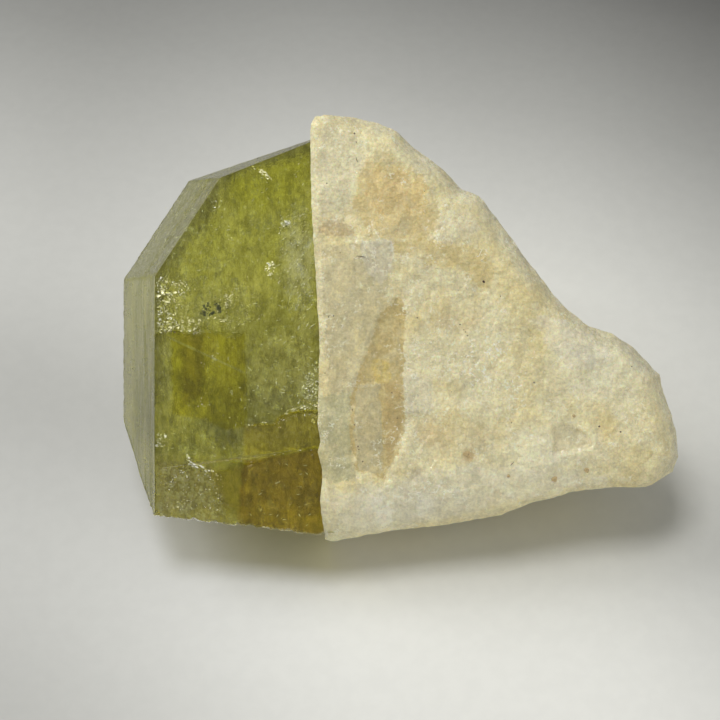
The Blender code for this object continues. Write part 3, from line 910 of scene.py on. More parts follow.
    def rest(self, points: Sequence[Vector]) -> list[Vector]:
        """Flattens what would reach below the surface that the specimen rests on."""
        down = Vector((0, -math.cos(FRONT.rise), -math.sin(FRONT.rise)))
        return [p - down * max(0.0, p.dot(down) - FRONT.drop) for p in points]

    def surface(self, spots: Sequence[Point2]) -> list[Vector]:
        """Points on the rock's front at given places."""
        zones = [Outline(z.corners).ragged(0.4, 0.26, 1.2, 3.0 + i) for i, z in enumerate(ROCK_ZONES)]
        heights = self.front_heights(np.array(spots), zones)
        return [Vector((u, v, h)) for (u, v), h in zip(spots, heights)]


def speck(place: Vector, size: float, squash: float, stretch: float, turn: float, chance: random.Random) -> tuple[list, list]:
    """A tiny flattened eight-sided grain.

    Args:
        place: Its middle.
        size: Its half width.
        squash: Its thickness as a share of its width.
        stretch: Its length as a share of its width.
        turn: How far it is turned in the front.
        chance: The source of its unevenness.

    Returns:
        Its points and faces.
    """
    along, across = Vector((math.cos(turn), math.sin(turn), 0)), Vector((-math.sin(turn), math.cos(turn), 0))
    points = []
    for i in range(8):
        angle, reach = math.tau * i / 8, size * chance.uniform(0.7, 1.1)
        points.append(place + along * reach * stretch * math.cos(angle) + across * reach * math.sin(angle))
    points += [place + Vector((0, 0, size * squash)), place - Vector((0, 0, size * squash))]
    faces = [(i, (i + 1) % 8, 8) for i in range(8)] + [((i + 1) % 8, i, 9) for i in range(8)]
    return points, faces


@dataclass
class Specks:
    """Dark mineral specks, a few brown grains and loose fibres on the rock's front."""

    dots: Sequence[tuple[float, float, float]] = (
        (-7.8, 15.6, 0.10), (-4.9, 20.9, 0.10), (-4.7, 20.0, 0.07), (8.9, 5.2, 0.17), (-5.1, -8.5, 0.06),
        (-4.9, -10.1, 0.08), (-4.7, -11.7, 0.07), (-4.5, -12.4, 0.09), (-4.4, -12.7, 0.06), (-4.0, -14.0, 0.07),
        (6.4, 0.6, 0.09), (6.8, 0.0, 0.08), (7.2, -0.6, 0.08), (7.0, -0.2, 0.06), (23.6, -10.9, 0.11),
        (21.3, -10.3, 0.10), (-7.1, 1.5, 0.07), (-0.9, -6.7, 0.07), (-0.3, -9.4, 0.06), (14.3, -5.6, 0.08),
        (11.9, -9.9, 0.07), (1.8, 1.3, 0.07), (24.8, -3.9, 0.06), (-6.4, 8.2, 0.05), (10.7, 3.6, 0.06),
        (-8.0, -4.6, 0.06), (5.5, -6.6, 0.05), (2.6, 14.8, 0.05),
    )
    grains: Sequence[tuple[float, float, float]] = (
        (16.5, -15.9, 0.34), (20.0, -14.9, 0.36), (7.0, -13.1, 0.40), (11.6, -15.6, 0.20), (18.6, -9.2, 0.18),
    )
    fibres: Sequence[tuple[float, float, float, float]] = (
        (-4.2, 7.75, 0.5, -0.12), (-4.6, 18.1, 0.3, 1.9), (12.0, -14.3, 0.28, 0.8), (-7.6, 1.4, 0.16, 1.2),
    )

    def build(self, rock: Rock) -> list[tuple[bpy.types.Object, str]]:
        """Builds the specks.

        Args:
            rock: The rock whose front they lie on.

        Returns:
            The pieces, each with the name of its kind.
        """
        chance = random.Random(4)
        made = []
        for name, rows, squash in (("dark_specks", self.dots, 0.5), ("brown_grains", self.grains, 0.3)):
            points, faces = [], []
            for place, (_, _, size) in zip(rock.surface([(u, v) for u, v, _ in rows]), rows):
                new, sides = speck(place, size, squash, 1.2, chance.uniform(0, 3.14), chance)
                faces += [tuple(i + len(points) for i in side) for side in sides]
                points += new
            made.append((new_piece(name, points, faces), name))
        points, faces = [], []
        for place, (_, _, reach, turn) in zip(rock.surface([(f[0], f[1]) for f in self.fibres]), self.fibres):
            new, sides = self.fibre(place, reach, turn)
            faces += [tuple(i + len(points) for i in side) for side in sides]
            points += new
        made.append((new_piece("dark_fibres", points, faces), "dark_specks"))
        return made

    def fibre(self, place: Vector, reach: float, turn: float) -> tuple[list, list]:
        """A short curved hair lying on the rock, as a closed tube.

        Args:
            place: Its middle.
            reach: Half its length.
            turn: Its direction in the front.

        Returns:
            Its points and faces.
        """
        along, across = Vector((math.cos(turn), math.sin(turn), 0)), Vector((-math.sin(turn), math.cos(turn), 0))
        points, sides, rings = [], 5, 9
        for i in range(rings):
            t = 2.0 * i / (rings - 1) - 1.0
            middle = place + along * reach * t + across * 0.12 * reach * (1 - t * t) + Vector((0, 0, 0.09))
            thick = 0.035 * (1.0 - 0.6 * abs(t))
            for j in range(sides):
                angle = math.tau * j / sides
                points.append(middle + across * thick * math.cos(angle) + Vector((0, 0, thick * math.sin(angle))))
        faces = [
            (i * sides + j, i * sides + (j + 1) % sides, (i + 1) * sides + (j + 1) % sides, (i + 1) * sides + j)
            for i in range(rings - 1) for j in range(sides)
        ]
        faces += [tuple(range(sides))[::-1], tuple(range((rings - 1) * sides, rings * sides))]
        return points, faces


@dataclass(frozen=True)
class SpeckFinish:
    """A plain dull mineral grain."""

    name: str
    colour: Colour
    roughness: float = 0.5

    def material(self) -> bpy.types.Material:
        """Builds the material.

        Returns:
            The grain's material.
        """
        material, board, shader, _ = start_material(self.name)
        grain = board.group(EFFECTS.get(Effect.GRAIN), Place=board.place(), Fineness=9.0)
        dark = tuple(c * 0.6 for c in self.colour)
        board.feed(shader.inputs["Base Color"], board.blend(grain.outputs["Tone"], self.colour, dark))
        shader.inputs["Roughness"].default_value = self.roughness
        return material


CRYSTAL_ZONES = (
    Zone("columns", (
        (-24.6, 0.2), (-22.4, -0.6), (-20.2, -0.1), (-18.2, -0.9), (-16.65, -0.3), (-16.6, -10.2), (-18.6, -10.8),
        (-21.0, -9.6), (-24.4, -9.0),
    ), 0.0, (0.92, 0.86, 0.2), 1.0, 0.0, 0.12),
    Zone("edge_strip", ((-26.6, 0.2), (-24.7, 0.1), (-24.5, -9.2), (-24.9, -13.6), (-26.6, -13.6)),
         0.0, (1.0, 1.0, 1.2), 1.0, 0.0, 0.2),
    Zone("dark_stripe", ((-23.6, -0.3), (-21.0, -0.4), (-21.3, -7.0), (-23.4, -8.2)), 0.0, (0.66, 0.60, 0.45), 1.0, 0.0, 0.3),
    Zone("second_plate", (
        (-16.7, -10.2), (-13.6, -10.1), (-12.9, -9.3), (-11.5, -8.6), (-8.0, -8.4), (-8.0, -12.5), (-13.8, -13.5),
        (-16.8, -14.2),
    ), 0.0, (1.35, 1.15, 0.62), 1.0, 0.0, 0.12),
    # brown at the foot: partly the crystal's iron-brown colour, partly painted shade of the dark floor seen through it
    Zone("brown", (
        (-16.8, -14.1), (-13.8, -13.6), (-8.0, -12.6), (-8.0, -24.0), (-17.8, -24.0), (-17.2, -18.0),
    ), 0.0, (0.62, 0.40, 0.20), 1.0, 0.0, 0.15),
    Zone("olive_corner", (
        (-20.6, -15.0), (-18.6, -15.0), (-16.7, -14.0), (-17.0, -18.4), (-17.4, -20.4), (-19.4, -18.4), (-20.4, -16.5),
    ), 0.0, (0.66, 0.56, 0.3), 1.0, 0.0, 0.25),
    Zone("rough_foot", (
        (-26.4, -13.9), (-23.4, -14.3), (-20.6, -14.9), (-19.9, -16.4), (-19.2, -18.3), (-17.6, -20.4), (-18.4, -22.4),
        (-26.4, -21.6),
    ), 0.0, (0.84, 0.74, 1.05), 1.0, 0.0, 0.8),
    Zone("olive_top", (
        (-18.4, 16.6), (-9.4, 19.8), (-9.4, 17.0), (-11.8, 13.6), (-15.4, 12.8), (-18.8, 14.6),
    ), 0.0, (0.86, 0.86, 0.4), 1.0, 0.0, 1.2),
    Zone("glitter", (
        (-26.2, 5.4), (-23.0, 5.9), (-18.8, 4.3), (-14.8, 3.2), (-14.8, 1.1), (-17.1, 0.2), (-20.5, 0.4), (-22.5, -0.6),
        (-26.2, -0.1),
    ), 0.0, (0.95, 0.95, 1.1), 1.0, 0.0, 1.0),
    Zone("contact_flakes", ((-8.0, -3.0), (-9.4, -3.6), (-10.8, -5.9), (-11.2, -8.0), (-10.5, -9.4), (-8.0, -9.8)),
         0.0, (1.1, 1.15, 1.0), 1.0, 0.0, 0.4),
)


@dataclass(frozen=True)
class CrystalFinish:
    """Clear yellow-green crystal that drinks blue light, with a polished front and a frosted back and foot."""

    skin: Colour = (0.65, 0.67, 0.24)
    deep: Colour = (0.47, 0.49, 0.13)
    cloudy: Colour = (0.98, 1.0, 0.74)
    # pale colour that paints the sheen of the narrow prism faces
    prism: Colour = (1.0, 1.0, 0.92)
    broken: Colour = (0.46, 0.42, 0.20)
    # colour of the painted light on the left prism faces
    white: Colour = (1.0, 1.0, 0.86)
    body: Colour = (0.89, 0.88, 0.06)
    density: float = 135.0
    clearness: float = 0.86
    ior: float = 1.61
    entering: Colour = (0.20, 0.17, 0.03)
    leaving: Colour = (0.95, 0.95, 0.80)
    patches: tuple[Stain, ...] = (
        Stain((-10.8, 7.6), (2.6, 6.4), (0.98, 1.0, 0.95), 0.9, 0.8),
        Stain((-10.2, 1.2), (2.0, 3.0), (0.94, 0.96, 0.50), 0.6, 0.8),
        Stain((-9.7, -6.2), (1.5, 3.0), (1.0, 1.0, 0.86), 0.9, 1.2),
        Stain((-16.0, 5.0), (3.0, 3.0), (0.92, 0.92, 0.36), 0.6, 0.8),
        Stain((-20.0, -2.2), (0.6, 2.4), (0.98, 0.98, 0.80), 0.8, 0.6),
        Stain((-21.0, -11.4), (4.0, 2.6), (0.66, 0.72, 0.32), 0.35, 1.2),
        Stain((-22.6, -2.6), (0.7, 1.8), (0.80, 0.84, 0.40), 0.5, 1.2),
        Stain((-14.4, -6.0), (2.0, 4.0), (0.80, 0.84, 0.40), 0.4, 1.2),
        Stain((-13.6, -19.4), (1.6, 1.2), (0.60, 0.62, 0.26), 0.5, 1.4),
        Stain((-12.4, -4.6), (4.0, 4.8), (0.88, 0.88, 0.44), 0.5, 0.6, 0.3),
    )

    def material(self) -> bpy.types.Material:
        """Builds the material.

        Returns:
            The crystal's material.
        """
        material, board, shader, output = start_material("brazilianite_crystal")
        place = board.place()
        broken, prism, glitter = board.mask("broken"), board.mask("prism"), board.mask("glitter")
        streaks = board.stretched(place, (1.0, 0.3, 1.0))
        cloud = board.group(EFFECTS.get(Effect.CLOUD), Place=streaks, Fineness=0.5, From=0.40, To=0.62).outputs[0]
        mottle = board.group(EFFECTS.get(Effect.CLOUD), Place=place, Fineness=1.6, From=0.46, To=0.62).outputs[0]
        wisps = board.group(EFFECTS.get(Effect.CLOUD), Place=place, Fineness=1.3, From=0.54, To=0.74).outputs[0]
        colour = board.blend(board.math("MULTIPLY", cloud, 0.8), self.skin, self.deep)
        colour = board.blend(board.math("MULTIPLY", wisps, 0.5), colour, self.cloudy)
        for patch in self.patches:
            colour = patch.over(board, place, colour, 2.5)
        colour = board.blend(board.math("MULTIPLY", mottle, 0.45), colour, (0.42, 0.41, 0.07))
        flecks = board.group(EFFECTS.get(Effect.CLOUD), Place=place, Fineness=3.6, From=0.52, To=0.66).outputs[0]
        colour = board.blend(board.math("MULTIPLY", flecks, 0.45), colour, self.cloudy)
        rolls = board.noise(board.stretched(place, (1.0, 0.55, 1.0)), 0.9, 8.0, 0.72)
        hairs = board.noise(board.stretched(place, (3.4, 0.9, 1.0)), 1.5, 6.0, 0.7)
        tone = board.math("MULTIPLY", board.spread(rolls, 0.36, 0.64, (0.60, 1.36)), board.spread(hairs, 0.36, 0.64, (0.74, 1.24)))
        grey_tone = board.add("ShaderNodeCombineColor")
        for socket in grey_tone.inputs:
            board.feed(socket, tone)
        colour = board.blend(1.0, colour, grey_tone.outputs[0], "MULTIPLY")
        fine = board.group(EFFECTS.get(Effect.GRAIN), Place=place, Fineness=3.4)
        for zone in CRYSTAL_ZONES:
            share = board.math("MULTIPLY", board.mask(zone.name), zone.strength)
            colour = board.blend(share, colour, zone.colour, "MULTIPLY")
        # whitish grains on the rough foot: partly its frosting, partly painted highlights
        granular = board.math("MULTIPLY", board.mask("rough_foot"), board.spread(fine.outputs["Tone"], 0.45, 0.9))
        colour = board.blend(board.math("MULTIPLY", granular, 0.8), colour, self.cloudy)
        streak = board.noise(board.stretched(place, (2.6, 0.14, 2.6)), 1.2, 6.0, 0.62)
        # painted sheen: the narrow prism faces take a pale colour in place of their pale reflection, crossed by darker
        # striae
        pale = board.blend(board.spread(streak, 0.45, 0.55, (0.0, 0.9)), self.prism, (0.50, 0.52, 0.25))
        # painted light: a white band on the left prism faces, which face the side light
        pale = Stain((-30.2, -4.0), (1.6, 12.0), self.white, 0.85, 0.25, 0.5).over(board, place, pale, 40.0)
        colour = board.blend(prism, colour, pale)
        board.feed(shader.inputs["Base Color"], board.blend(board.math("MULTIPLY", broken, 0.5), colour, self.broken))
        hazy = board.spread(board.noise(place, 0.8, 6.0, 0.65), 0.40, 0.7, (0.05, 0.22))
        hazy = board.math("ADD", hazy, board.math("MULTIPLY", prism, 0.10))
        board.feed(shader.inputs["Roughness"], board.math("ADD", hazy, board.math("MULTIPLY", broken, 0.45)))
        board.feed(shader.inputs["Coat Weight"], board.math("MULTIPLY", prism, 0.3))
        shader.inputs["Coat Roughness"].default_value = 0.25
        shader.inputs["Coat IOR"].default_value = 1.9
        shader.inputs["Transmission Weight"].default_value = self.clearness
        shader.inputs["IOR"].default_value = self.ior
        bump = board.add("ShaderNodeBump")
        bump.inputs["Strength"].default_value = 0.6
        bump.inputs["Distance"].default_value = 0.00012
        wave = board.noise(board.stretched(place, (1.0, 0.3, 1.0)), 1.1, 7.0, 0.62)
        grainy = board.math("ADD", 0.05, board.math("ADD", broken, board.math("MULTIPLY", glitter, 0.8)))
        rise = board.math("ADD", wave, board.math("MULTIPLY", fine.outputs["Height"], grainy))
        rise = board.math("ADD", rise, board.math("MULTIPLY", board.noise(place, 4.5, 4.0, 0.6), 0.35))
        rise = board.math("ADD", rise, board.math("MULTIPLY", board.math("MULTIPLY", streak, prism), 1.2))
        board.feed(bump.inputs["Height"], rise)
        board.feed(shader.inputs["Normal"], bump.outputs[0])
        clear = board.add("ShaderNodeBsdfTransparent")
        inside = board.add("ShaderNodeNewGeometry").outputs["Backfacing"]
        board.feed(clear.inputs[0], board.blend(inside, self.entering, self.leaving))
        either = board.add("ShaderNodeMixShader")
        board.feed(either.inputs[0], board.add("ShaderNodeLightPath").outputs["Is Shadow Ray"])
        board.feed(either.inputs[1], shader.outputs[0])
        board.feed(either.inputs[2], clear.outputs[0])
        board.feed(output.inputs["Surface"], either.outputs[0])
        body = board.add("ShaderNodeVolumeAbsorption")
        body.inputs["Color"].default_value = (*self.body, 1.0)
        body.inputs["Density"].default_value = self.density
        board.feed(output.inputs["Volume"], body.outputs[0])
        return material


@dataclass(frozen=True)
class Facet:
    """One flat face of the crystal: where it lies and how its ridges run."""

    name: str
    point: Vector
    normal: Vector
    along: Vector
    squeeze: float = 1.0
    step: float = 0.4

    def axes(self) -> tuple[Vector, Vector]:
        """The directions across the ridges and along them, in the face."""
        along = (self.along - self.normal * self.along.dot(self.normal)).normalized()
        return along.cross(self.normal).normalized(), along


class Ridges:
    """Long steps beside each other, as on a striated prism face."""

    def __init__(self, low: float, high: float, widths: Point2, depth: float, seed: int) -> None:
        """Args:
            low: Where the ridges start, across the face.
            high: Where they end.
            widths: The narrowest and widest ridge.
            depth: How deep the deepest step goes.
            seed: Which set of ridges.
        """
        chance = random.Random(seed)
        self.stops, self.depths, self.ends = [low], [0.0], [(-99.0, 99.0)]
        while self.stops[-1] < high:
            self.stops.append(self.stops[-1] + chance.uniform(*widths))
            self.depths.append(-depth * chance.random() ** 1.6)
            self.ends.append((chance.uniform(-24.0, -6.0), chance.uniform(1.0, 16.0)))

    def height(self, across: float, along: float) -> float:
        """The surface's height at a place in the face, in millimetres."""
        wobble = 0.10 * noise.noise(Vector((across * 0.4, along * 0.35, 2.0)))
        spot = across + wobble
        for start, stop, depth, (foot, head) in zip(self.stops, self.stops[1:], self.depths[1:], self.ends[1:]):
            if start <= spot < stop:
                shoulder = ease((spot - start) / 0.22) * ease((stop - spot) / 0.22)
                fade = ease((along - foot + 40.0) / 2.0) * ease((head + 30.0 - along) / 2.0)
                return depth * shoulder * fade
        return 0.0


@dataclass
class Crystal:
    """The crystal: flat faces with fine ridges, plates that end in ragged steps, and a rough broken foot."""

    depth: float = 18.0
    left: float = -26.25
    shoulder_foot: float = 5.8
    shoulder_top: Point2 = (-19.3, 16.3)
    top_at_rock: float = 20.3
    foot_left: Point2 = (-26.25, -20.6)
    foot_right: Point2 = (-8.4, -22.1)
    foot_normal: tuple[float, float, float] = (-0.115, -0.985, -0.12)
    ridge: tuple[tuple[float, float, float], ...] = ((-23.57, 16.87, -9.0), (-9.2, 20.8, -2.0), (-9.2, 20.3, -18.0))
    end: float = -5.5
    seat_from: float = -9.2
    seat_start: float = -7.9
    upper_edge: Sequence[Point2] = (
        (-26.1, -0.3), (-24.7, 0.0), (-23.0, -0.5), (-21.4, 0.3), (-19.8, 0.0), (-17.7, -0.5), (-16.6, -0.3),
        (-16.5, -10.0), (-13.6, -10.1), (-12.9, -9.3), (-11.5, -8.6), (-8.4, -8.4),
    )
    lower_edge: Sequence[Point2] = (
        (-26.1, -14.8), (-23.0, -14.6), (-20.0, -15.2), (-18.5, -15.1), (-18.2, -14.1), (-15.3, -14.2),
        (-13.8, -13.5), (-8.4, -12.5),
    )
    upper_step: float = 0.45
    lower_step: float = 0.9
    scallop: float = 1.1

    def facets(self) -> list[Facet]:
        """The crystal's flat faces.

        Returns:
            One facet for each face.
        """
        upright = Vector((0, 1, 0))
        shoulder_run = Vector((self.shoulder_top[0] - self.left, self.shoulder_top[1] - self.shoulder_foot, 0))
        top_run = Vector((self.seat_from - self.shoulder_top[0], self.top_at_rock - self.shoulder_top[1], 0))
        side_back, top_back = Vector((-4.65, 0, -self.depth / 2)), Vector((-4.2, 0.6, -self.depth / 2))
        front = [
            ("front", (0, 0, 0), Vector((0, 0, 1)), upright, 1.0, 0.22),
            ("side", (self.left, 0, 0), upright.cross(side_back), upright, 0.25, 0.13),
            ("shoulder", (self.left, self.shoulder_foot, 0), shoulder_run.cross(side_back), shoulder_run, 0.3, 0.13),
            ("top", (*self.shoulder_top, 0), top_run.cross(top_back), top_run, 1.0, 0.35),
        ]
        single = [
            ("foot_side", (*self.foot_left, 0), Vector((-0.56, -0.66, -0.5)), upright, 1.0, 0.35),
            ("foot", (*self.foot_right, 0), Vector(self.foot_normal), Vector((1, 0, 0)), 1.0, 0.35),
            ("end", (self.end, 0, 0), Vector((1, 0, 0)), upright, 1.0, 1.0),
            ("seat", (self.seat_start, 0, 0), Vector((0.5, 0, 0.87)), upright, 1.0, 0.6),
            ("far_seat", (self.seat_start, 0, -self.depth), Vector((0.5, 0, -0.87)), upright, 1.0, 0.6),
            ("rest", (0, 0, 0), Vector((0, -math.cos(FRONT.rise), -math.sin(FRONT.rise))), upright, 1.0, 0.8),
        ]
        found = [Facet(n, Vector(p), normal.normalized(), a, q, s) for n, p, normal, a, q, s in front + single]
        for facet in found[:4]:
            u, v, w = facet.point
            turned = Vector((facet.normal.x, facet.normal.y, -facet.normal.z))
            along = Vector((facet.along.x, facet.along.y, -facet.along.z))
            place = Vector((u, v, -self.depth - w))
            squeeze = 0.3 if facet.name == "front" else facet.squeeze
            found.append(Facet("far_" + facet.name, place, turned, along, squeeze, max(0.2, facet.step)))
        left, right, back = (Vector(point) for point in self.ridge)
        changed = {"rest": {"point": Vector(found[9].normal) * FRONT.drop}}
        changed["far_top"] = {"point": right, "normal": (right - left).cross(back - left).normalized()}
        return [replace(f, **changed.get(f.name, {})) for f in found]

    def corners(self, facets: Sequence[Facet]) -> list[tuple[Vector, set[int]]]:
        """The crystal's corners and the faces that meet at each.

        Args:
            facets: The flat faces.

        Returns:
            Each corner's place with the indices of its faces.
        """
        normals = np.array([f.normal for f in facets], float)
        levels = np.array([np.dot(np.array(f.normal, float), np.array(f.point, float)) for f in facets])
        found: list[tuple[Vector, set[int]]] = []
        for trio in itertools.combinations(range(len(facets)), 3):
            rows = normals[list(trio)]
            if abs(np.linalg.det(rows)) < 1e-6:
                continue
            place = np.linalg.solve(rows, levels[list(trio)])
            if (normals @ place - levels > 1e-3).any():
                continue
            same = [item for item in found if (item[0] - Vector(place)).length < 5e-3]
            if same:
                same[0][1].update(trio)
            else:
                found.append((Vector(place), set(trio)))
        return found

    def ring(self, index: int, facets: Sequence[Facet], corners: Sequence[tuple[Vector, set[int]]]) -> list[Vector]:
        """The edge of one face with evenly spaced points that its neighbours share.

        Args:
            index: Which face.
            facets: The flat faces.
            corners: The crystal's corners with their faces.

        Returns:
            The points in order round the face.
        """
        across, along = facets[index].axes()
        mine = [place for place, near in corners if index in near]
        middle = sum(mine, Vector()) / len(mine)
        mine.sort(key=lambda p: math.atan2((p - middle).dot(along), (p - middle).dot(across)))
        points = []
        for a, b in zip(mine, mine[1:] + mine[:1]):
            first, second = sorted((a, b), key=lambda p: (round(p.x, 4), round(p.y, 4), round(p.z, 4)))
            parts = max(1, round((b - a).length / 0.22))
            inner = [first + (second - first) * i / parts for i in range(parts + 1)]
            points += (inner if first is a else inner[::-1])[:-1]
        return points

    def step_line(self, edge: Sequence[Point2], seed: float) -> Outline:
        """The region of the front below a ragged edge."""
        outline = Outline([*edge, (0.0, edge[-1][1]), (0.0, -40.0), (-40.0, -40.0), (-40.0, edge[0][1])])
        return outline.ragged(0.35, 0.30, 1.3, seed)

    def front_relief(self, points: np.ndarray) -> np.ndarray:
        """The front face's height at many points."""
        heights = -self.upper_step * self.upper_zone.holds(points).astype(float)
        fade = np.clip((points[:, 0] + 20.0) / 3.0, 0.0, 1.0)
        heights -= (self.lower_step - self.upper_step) * self.lower_zone.holds(points) * fade
        foot = next(zone for zone in CRYSTAL_ZONES if zone.name == "rough_foot")
        rough = foot.share(Outline(foot.corners), points)
        near = np.minimum(self.upper_zone.distance(points), self.lower_zone.distance(points))
        for i, (u, v) in enumerate(points):
            heights[i] += 0.035 * wander(Vector((u * 0.5, v * 0.22, 1.0)), 4)
            heights[i] += 0.010 * wander(Vector((u * 1.9, v * 0.9, 7.0)), 3)
            heights[i] -= rough[i] * (0.04 + 0.10 * abs(wander(Vector((u, v, 4.0)) / 0.7, 4)))
            if near[i] < self.scallop and v < -7.4 and u > -17.0:
                share = 1.0 - near[i] / self.scallop
                heights[i] -= share * (0.08 + 0.9 * abs(grain_facet(Vector((u, v, 2.0)), 0.8, 0.6)))
        return heights

    def relief(self, facet: Facet, flat: np.ndarray) -> np.ndarray:
        """The height of a face's relief at many places in it.

        Args:
            facet: The face.
            flat: Rows of the places across and along.

        Returns:
            The heights in millimetres.
        """
        if facet.name == "front":
            return self.front_relief(flat)
        ridges = self.ridges.get(facet.name)
        heights = np.zeros(len(flat))
        if facet.name in ("end", "rest", "seat", "far_seat"):
            return heights
        roughness = 0.10 if facet.name.startswith("foot") else 0.015
        for i, (s, t) in enumerate(flat):
            heights[i] = roughness * wander(Vector((s, t * 0.6, 3.0)), 4)
            if ridges:
                heights[i] += ridges.height(s, t)
        return heights

    def wear(self, place: Vector) -> Vector:
        """How far a point is worn away where the foot and the left ridge are chipped."""
        foot = Vector(self.foot_normal).normalized()
        above = foot.dot(Vector((*self.foot_right, 0.0)) - place)
        flute = Vector((place.x, place.y, place.z * 0.12)) / 1.1
        chip = abs(wander(flute, 4)) * ease(1.0 - above / 1.8) * ease((self.seat_from - 0.5 - place.x) / 2.0)
        ridge = ease(1.0 - abs(place.z + self.depth / 2) / 0.8) * ease((self.left + 4.0 - place.x) / 3.0)
        nick = abs(wander(place / 0.9 + Vector((5, 2, 7)), 4)) * ridge
        tuck = ease((place.x + 8.9) / 1.0) * ease(1.0 - above / 1.5)
        return -(0.5 * chip + 0.5 * tuck) * foot + Vector((0.22 * nick, 0.0, 0.0))

    def build(self) -> bpy.types.Object:
        """Builds the crystal.

        Returns:
            The piece.
        """
        self.upper_zone = self.step_line(self.upper_edge, 1.0)
        self.lower_zone = self.step_line(self.lower_edge, 2.0)
        self.ridges = {
            "side": Ridges(-12.0, 12.0, (0.5, 2.0), 0.07, 3),
            "shoulder": Ridges(-12.0, 12.0, (0.4, 1.5), 0.05, 5),
            "far_side": Ridges(-12.0, 12.0, (0.6, 2.2), 0.25, 7),
            "far_shoulder": Ridges(-12.0, 12.0, (0.6, 2.0), 0.25, 8),
            "far_front": Ridges(-30.0, 30.0, (0.8, 3.0), 0.3, 11),
        }
        facets = self.facets()
        corners = self.corners(facets)
        index: dict[tuple[float, ...], int] = {}
        places: list[Vector] = []
        moves: list[Vector] = []
        faces: list[tuple[int, ...]] = []
        masks: dict[str, list[float]] = {name: [] for name in ("broken", "prism", *(z.name for z in CRYSTAL_ZONES))}
        for number, facet in enumerate(facets):
            across, along = facet.axes()
            ring = self.ring(number, facets, corners)
            flat_ring = [((p - facet.point).dot(across), (p - facet.point).dot(along)) for p in ring]
            lines = []
            if facet.name == "front":
                lines = [self.clipped(zone, side) for zone in (self.upper_zone, self.lower_zone) for side in (0.04, -0.04)]
            sheet = Sheet(Outline(flat_ring), facet.step, lines, squeeze=facet.squeeze)
            flat, triangles = sheet.triangles()
            heights = self.relief(facet, flat)
            given = self.masks(facet, flat, len(ring))
            ids = []
            for i, ((s, t), height) in enumerate(zip(flat, heights)):
                place = ring[i] if i < len(ring) else facet.point + across * s + along * t
                key = tuple(round(c, 3) for c in place)
                if key not in index:
                    index[key] = len(places)
                    places.append(place)
                    moves.append(Vector())
                    for values in masks.values():
                        values.append(0.0)
                k = index[key]
                ids.append(k)
                moves[k] += facet.normal * height
                for name, values in masks.items():
                    values[k] = max(values[k], float(given[name][i]))
            faces += [tuple(ids[i] for i in face) for face in triangles]
        points = [place + move + self.wear(place) for place, move in zip(places, moves)]
        piece = new_piece("brazilianite_crystal", points, faces, replaces="crystal")
        for name, values in masks.items():
            add_mask(piece, name, values)
        piece.data.shade_smooth()
        piece.data.set_sharp_from_angle(angle=math.radians(24))
        return piece

    def clipped(self, zone: Outline, side: float) -> Outline:
        """The part of a zone's line that lies well inside the front face, moved to one side."""
        points = zone.offset(side).points
        keep = (points[:, 0] > self.left + 0.25) & (points[:, 0] < self.seat_start - 0.2) & (points[:, 1] > -19.0)
        return Outline([tuple(p) for p in points[keep]])

    def masks(self, facet: Facet, flat: np.ndarray, edge: int) -> dict[str, np.ndarray]:
        """What the finish needs to know at each point of a face.

        Args:
            facet: The face.
            flat: Rows of the places across and along.
            edge: How many of the first points lie on the face's edge.

        Returns:
            The values by name: how frosted it is, whether it is a narrow prism face, and each zone's share.
        """
        nothing = np.zeros(len(flat))
        made = {zone.name: nothing for zone in CRYSTAL_ZONES}
        narrow = facet.name in ("side", "shoulder", "top")
        made["prism"] = np.where(np.arange(len(flat)) >= edge, float(narrow), 0.0)
        made["broken"] = nothing if narrow else nothing + 1.0
        if facet.name == "front":
            for i, zone in enumerate(CRYSTAL_ZONES):
                made[zone.name] = zone.share(Outline(zone.corners).ragged(0.4, 0.2, 0.9, 40.0 + i), flat)
            made["broken"] = 0.5 * made["rough_foot"] + 0.3 * made["contact_flakes"]
        return made


@dataclass(frozen=True)
class Cluster:
    """A swarm of thin plates inside the crystal, near its front."""

    area: tuple[Point2, ...]
    count: int
    size: Point2
    depth: Point2
    stretch: float = 2.0
    lean: float = 0.5
    turn: Point2 = (0.0, 3.14)
    upward: float = 0.4


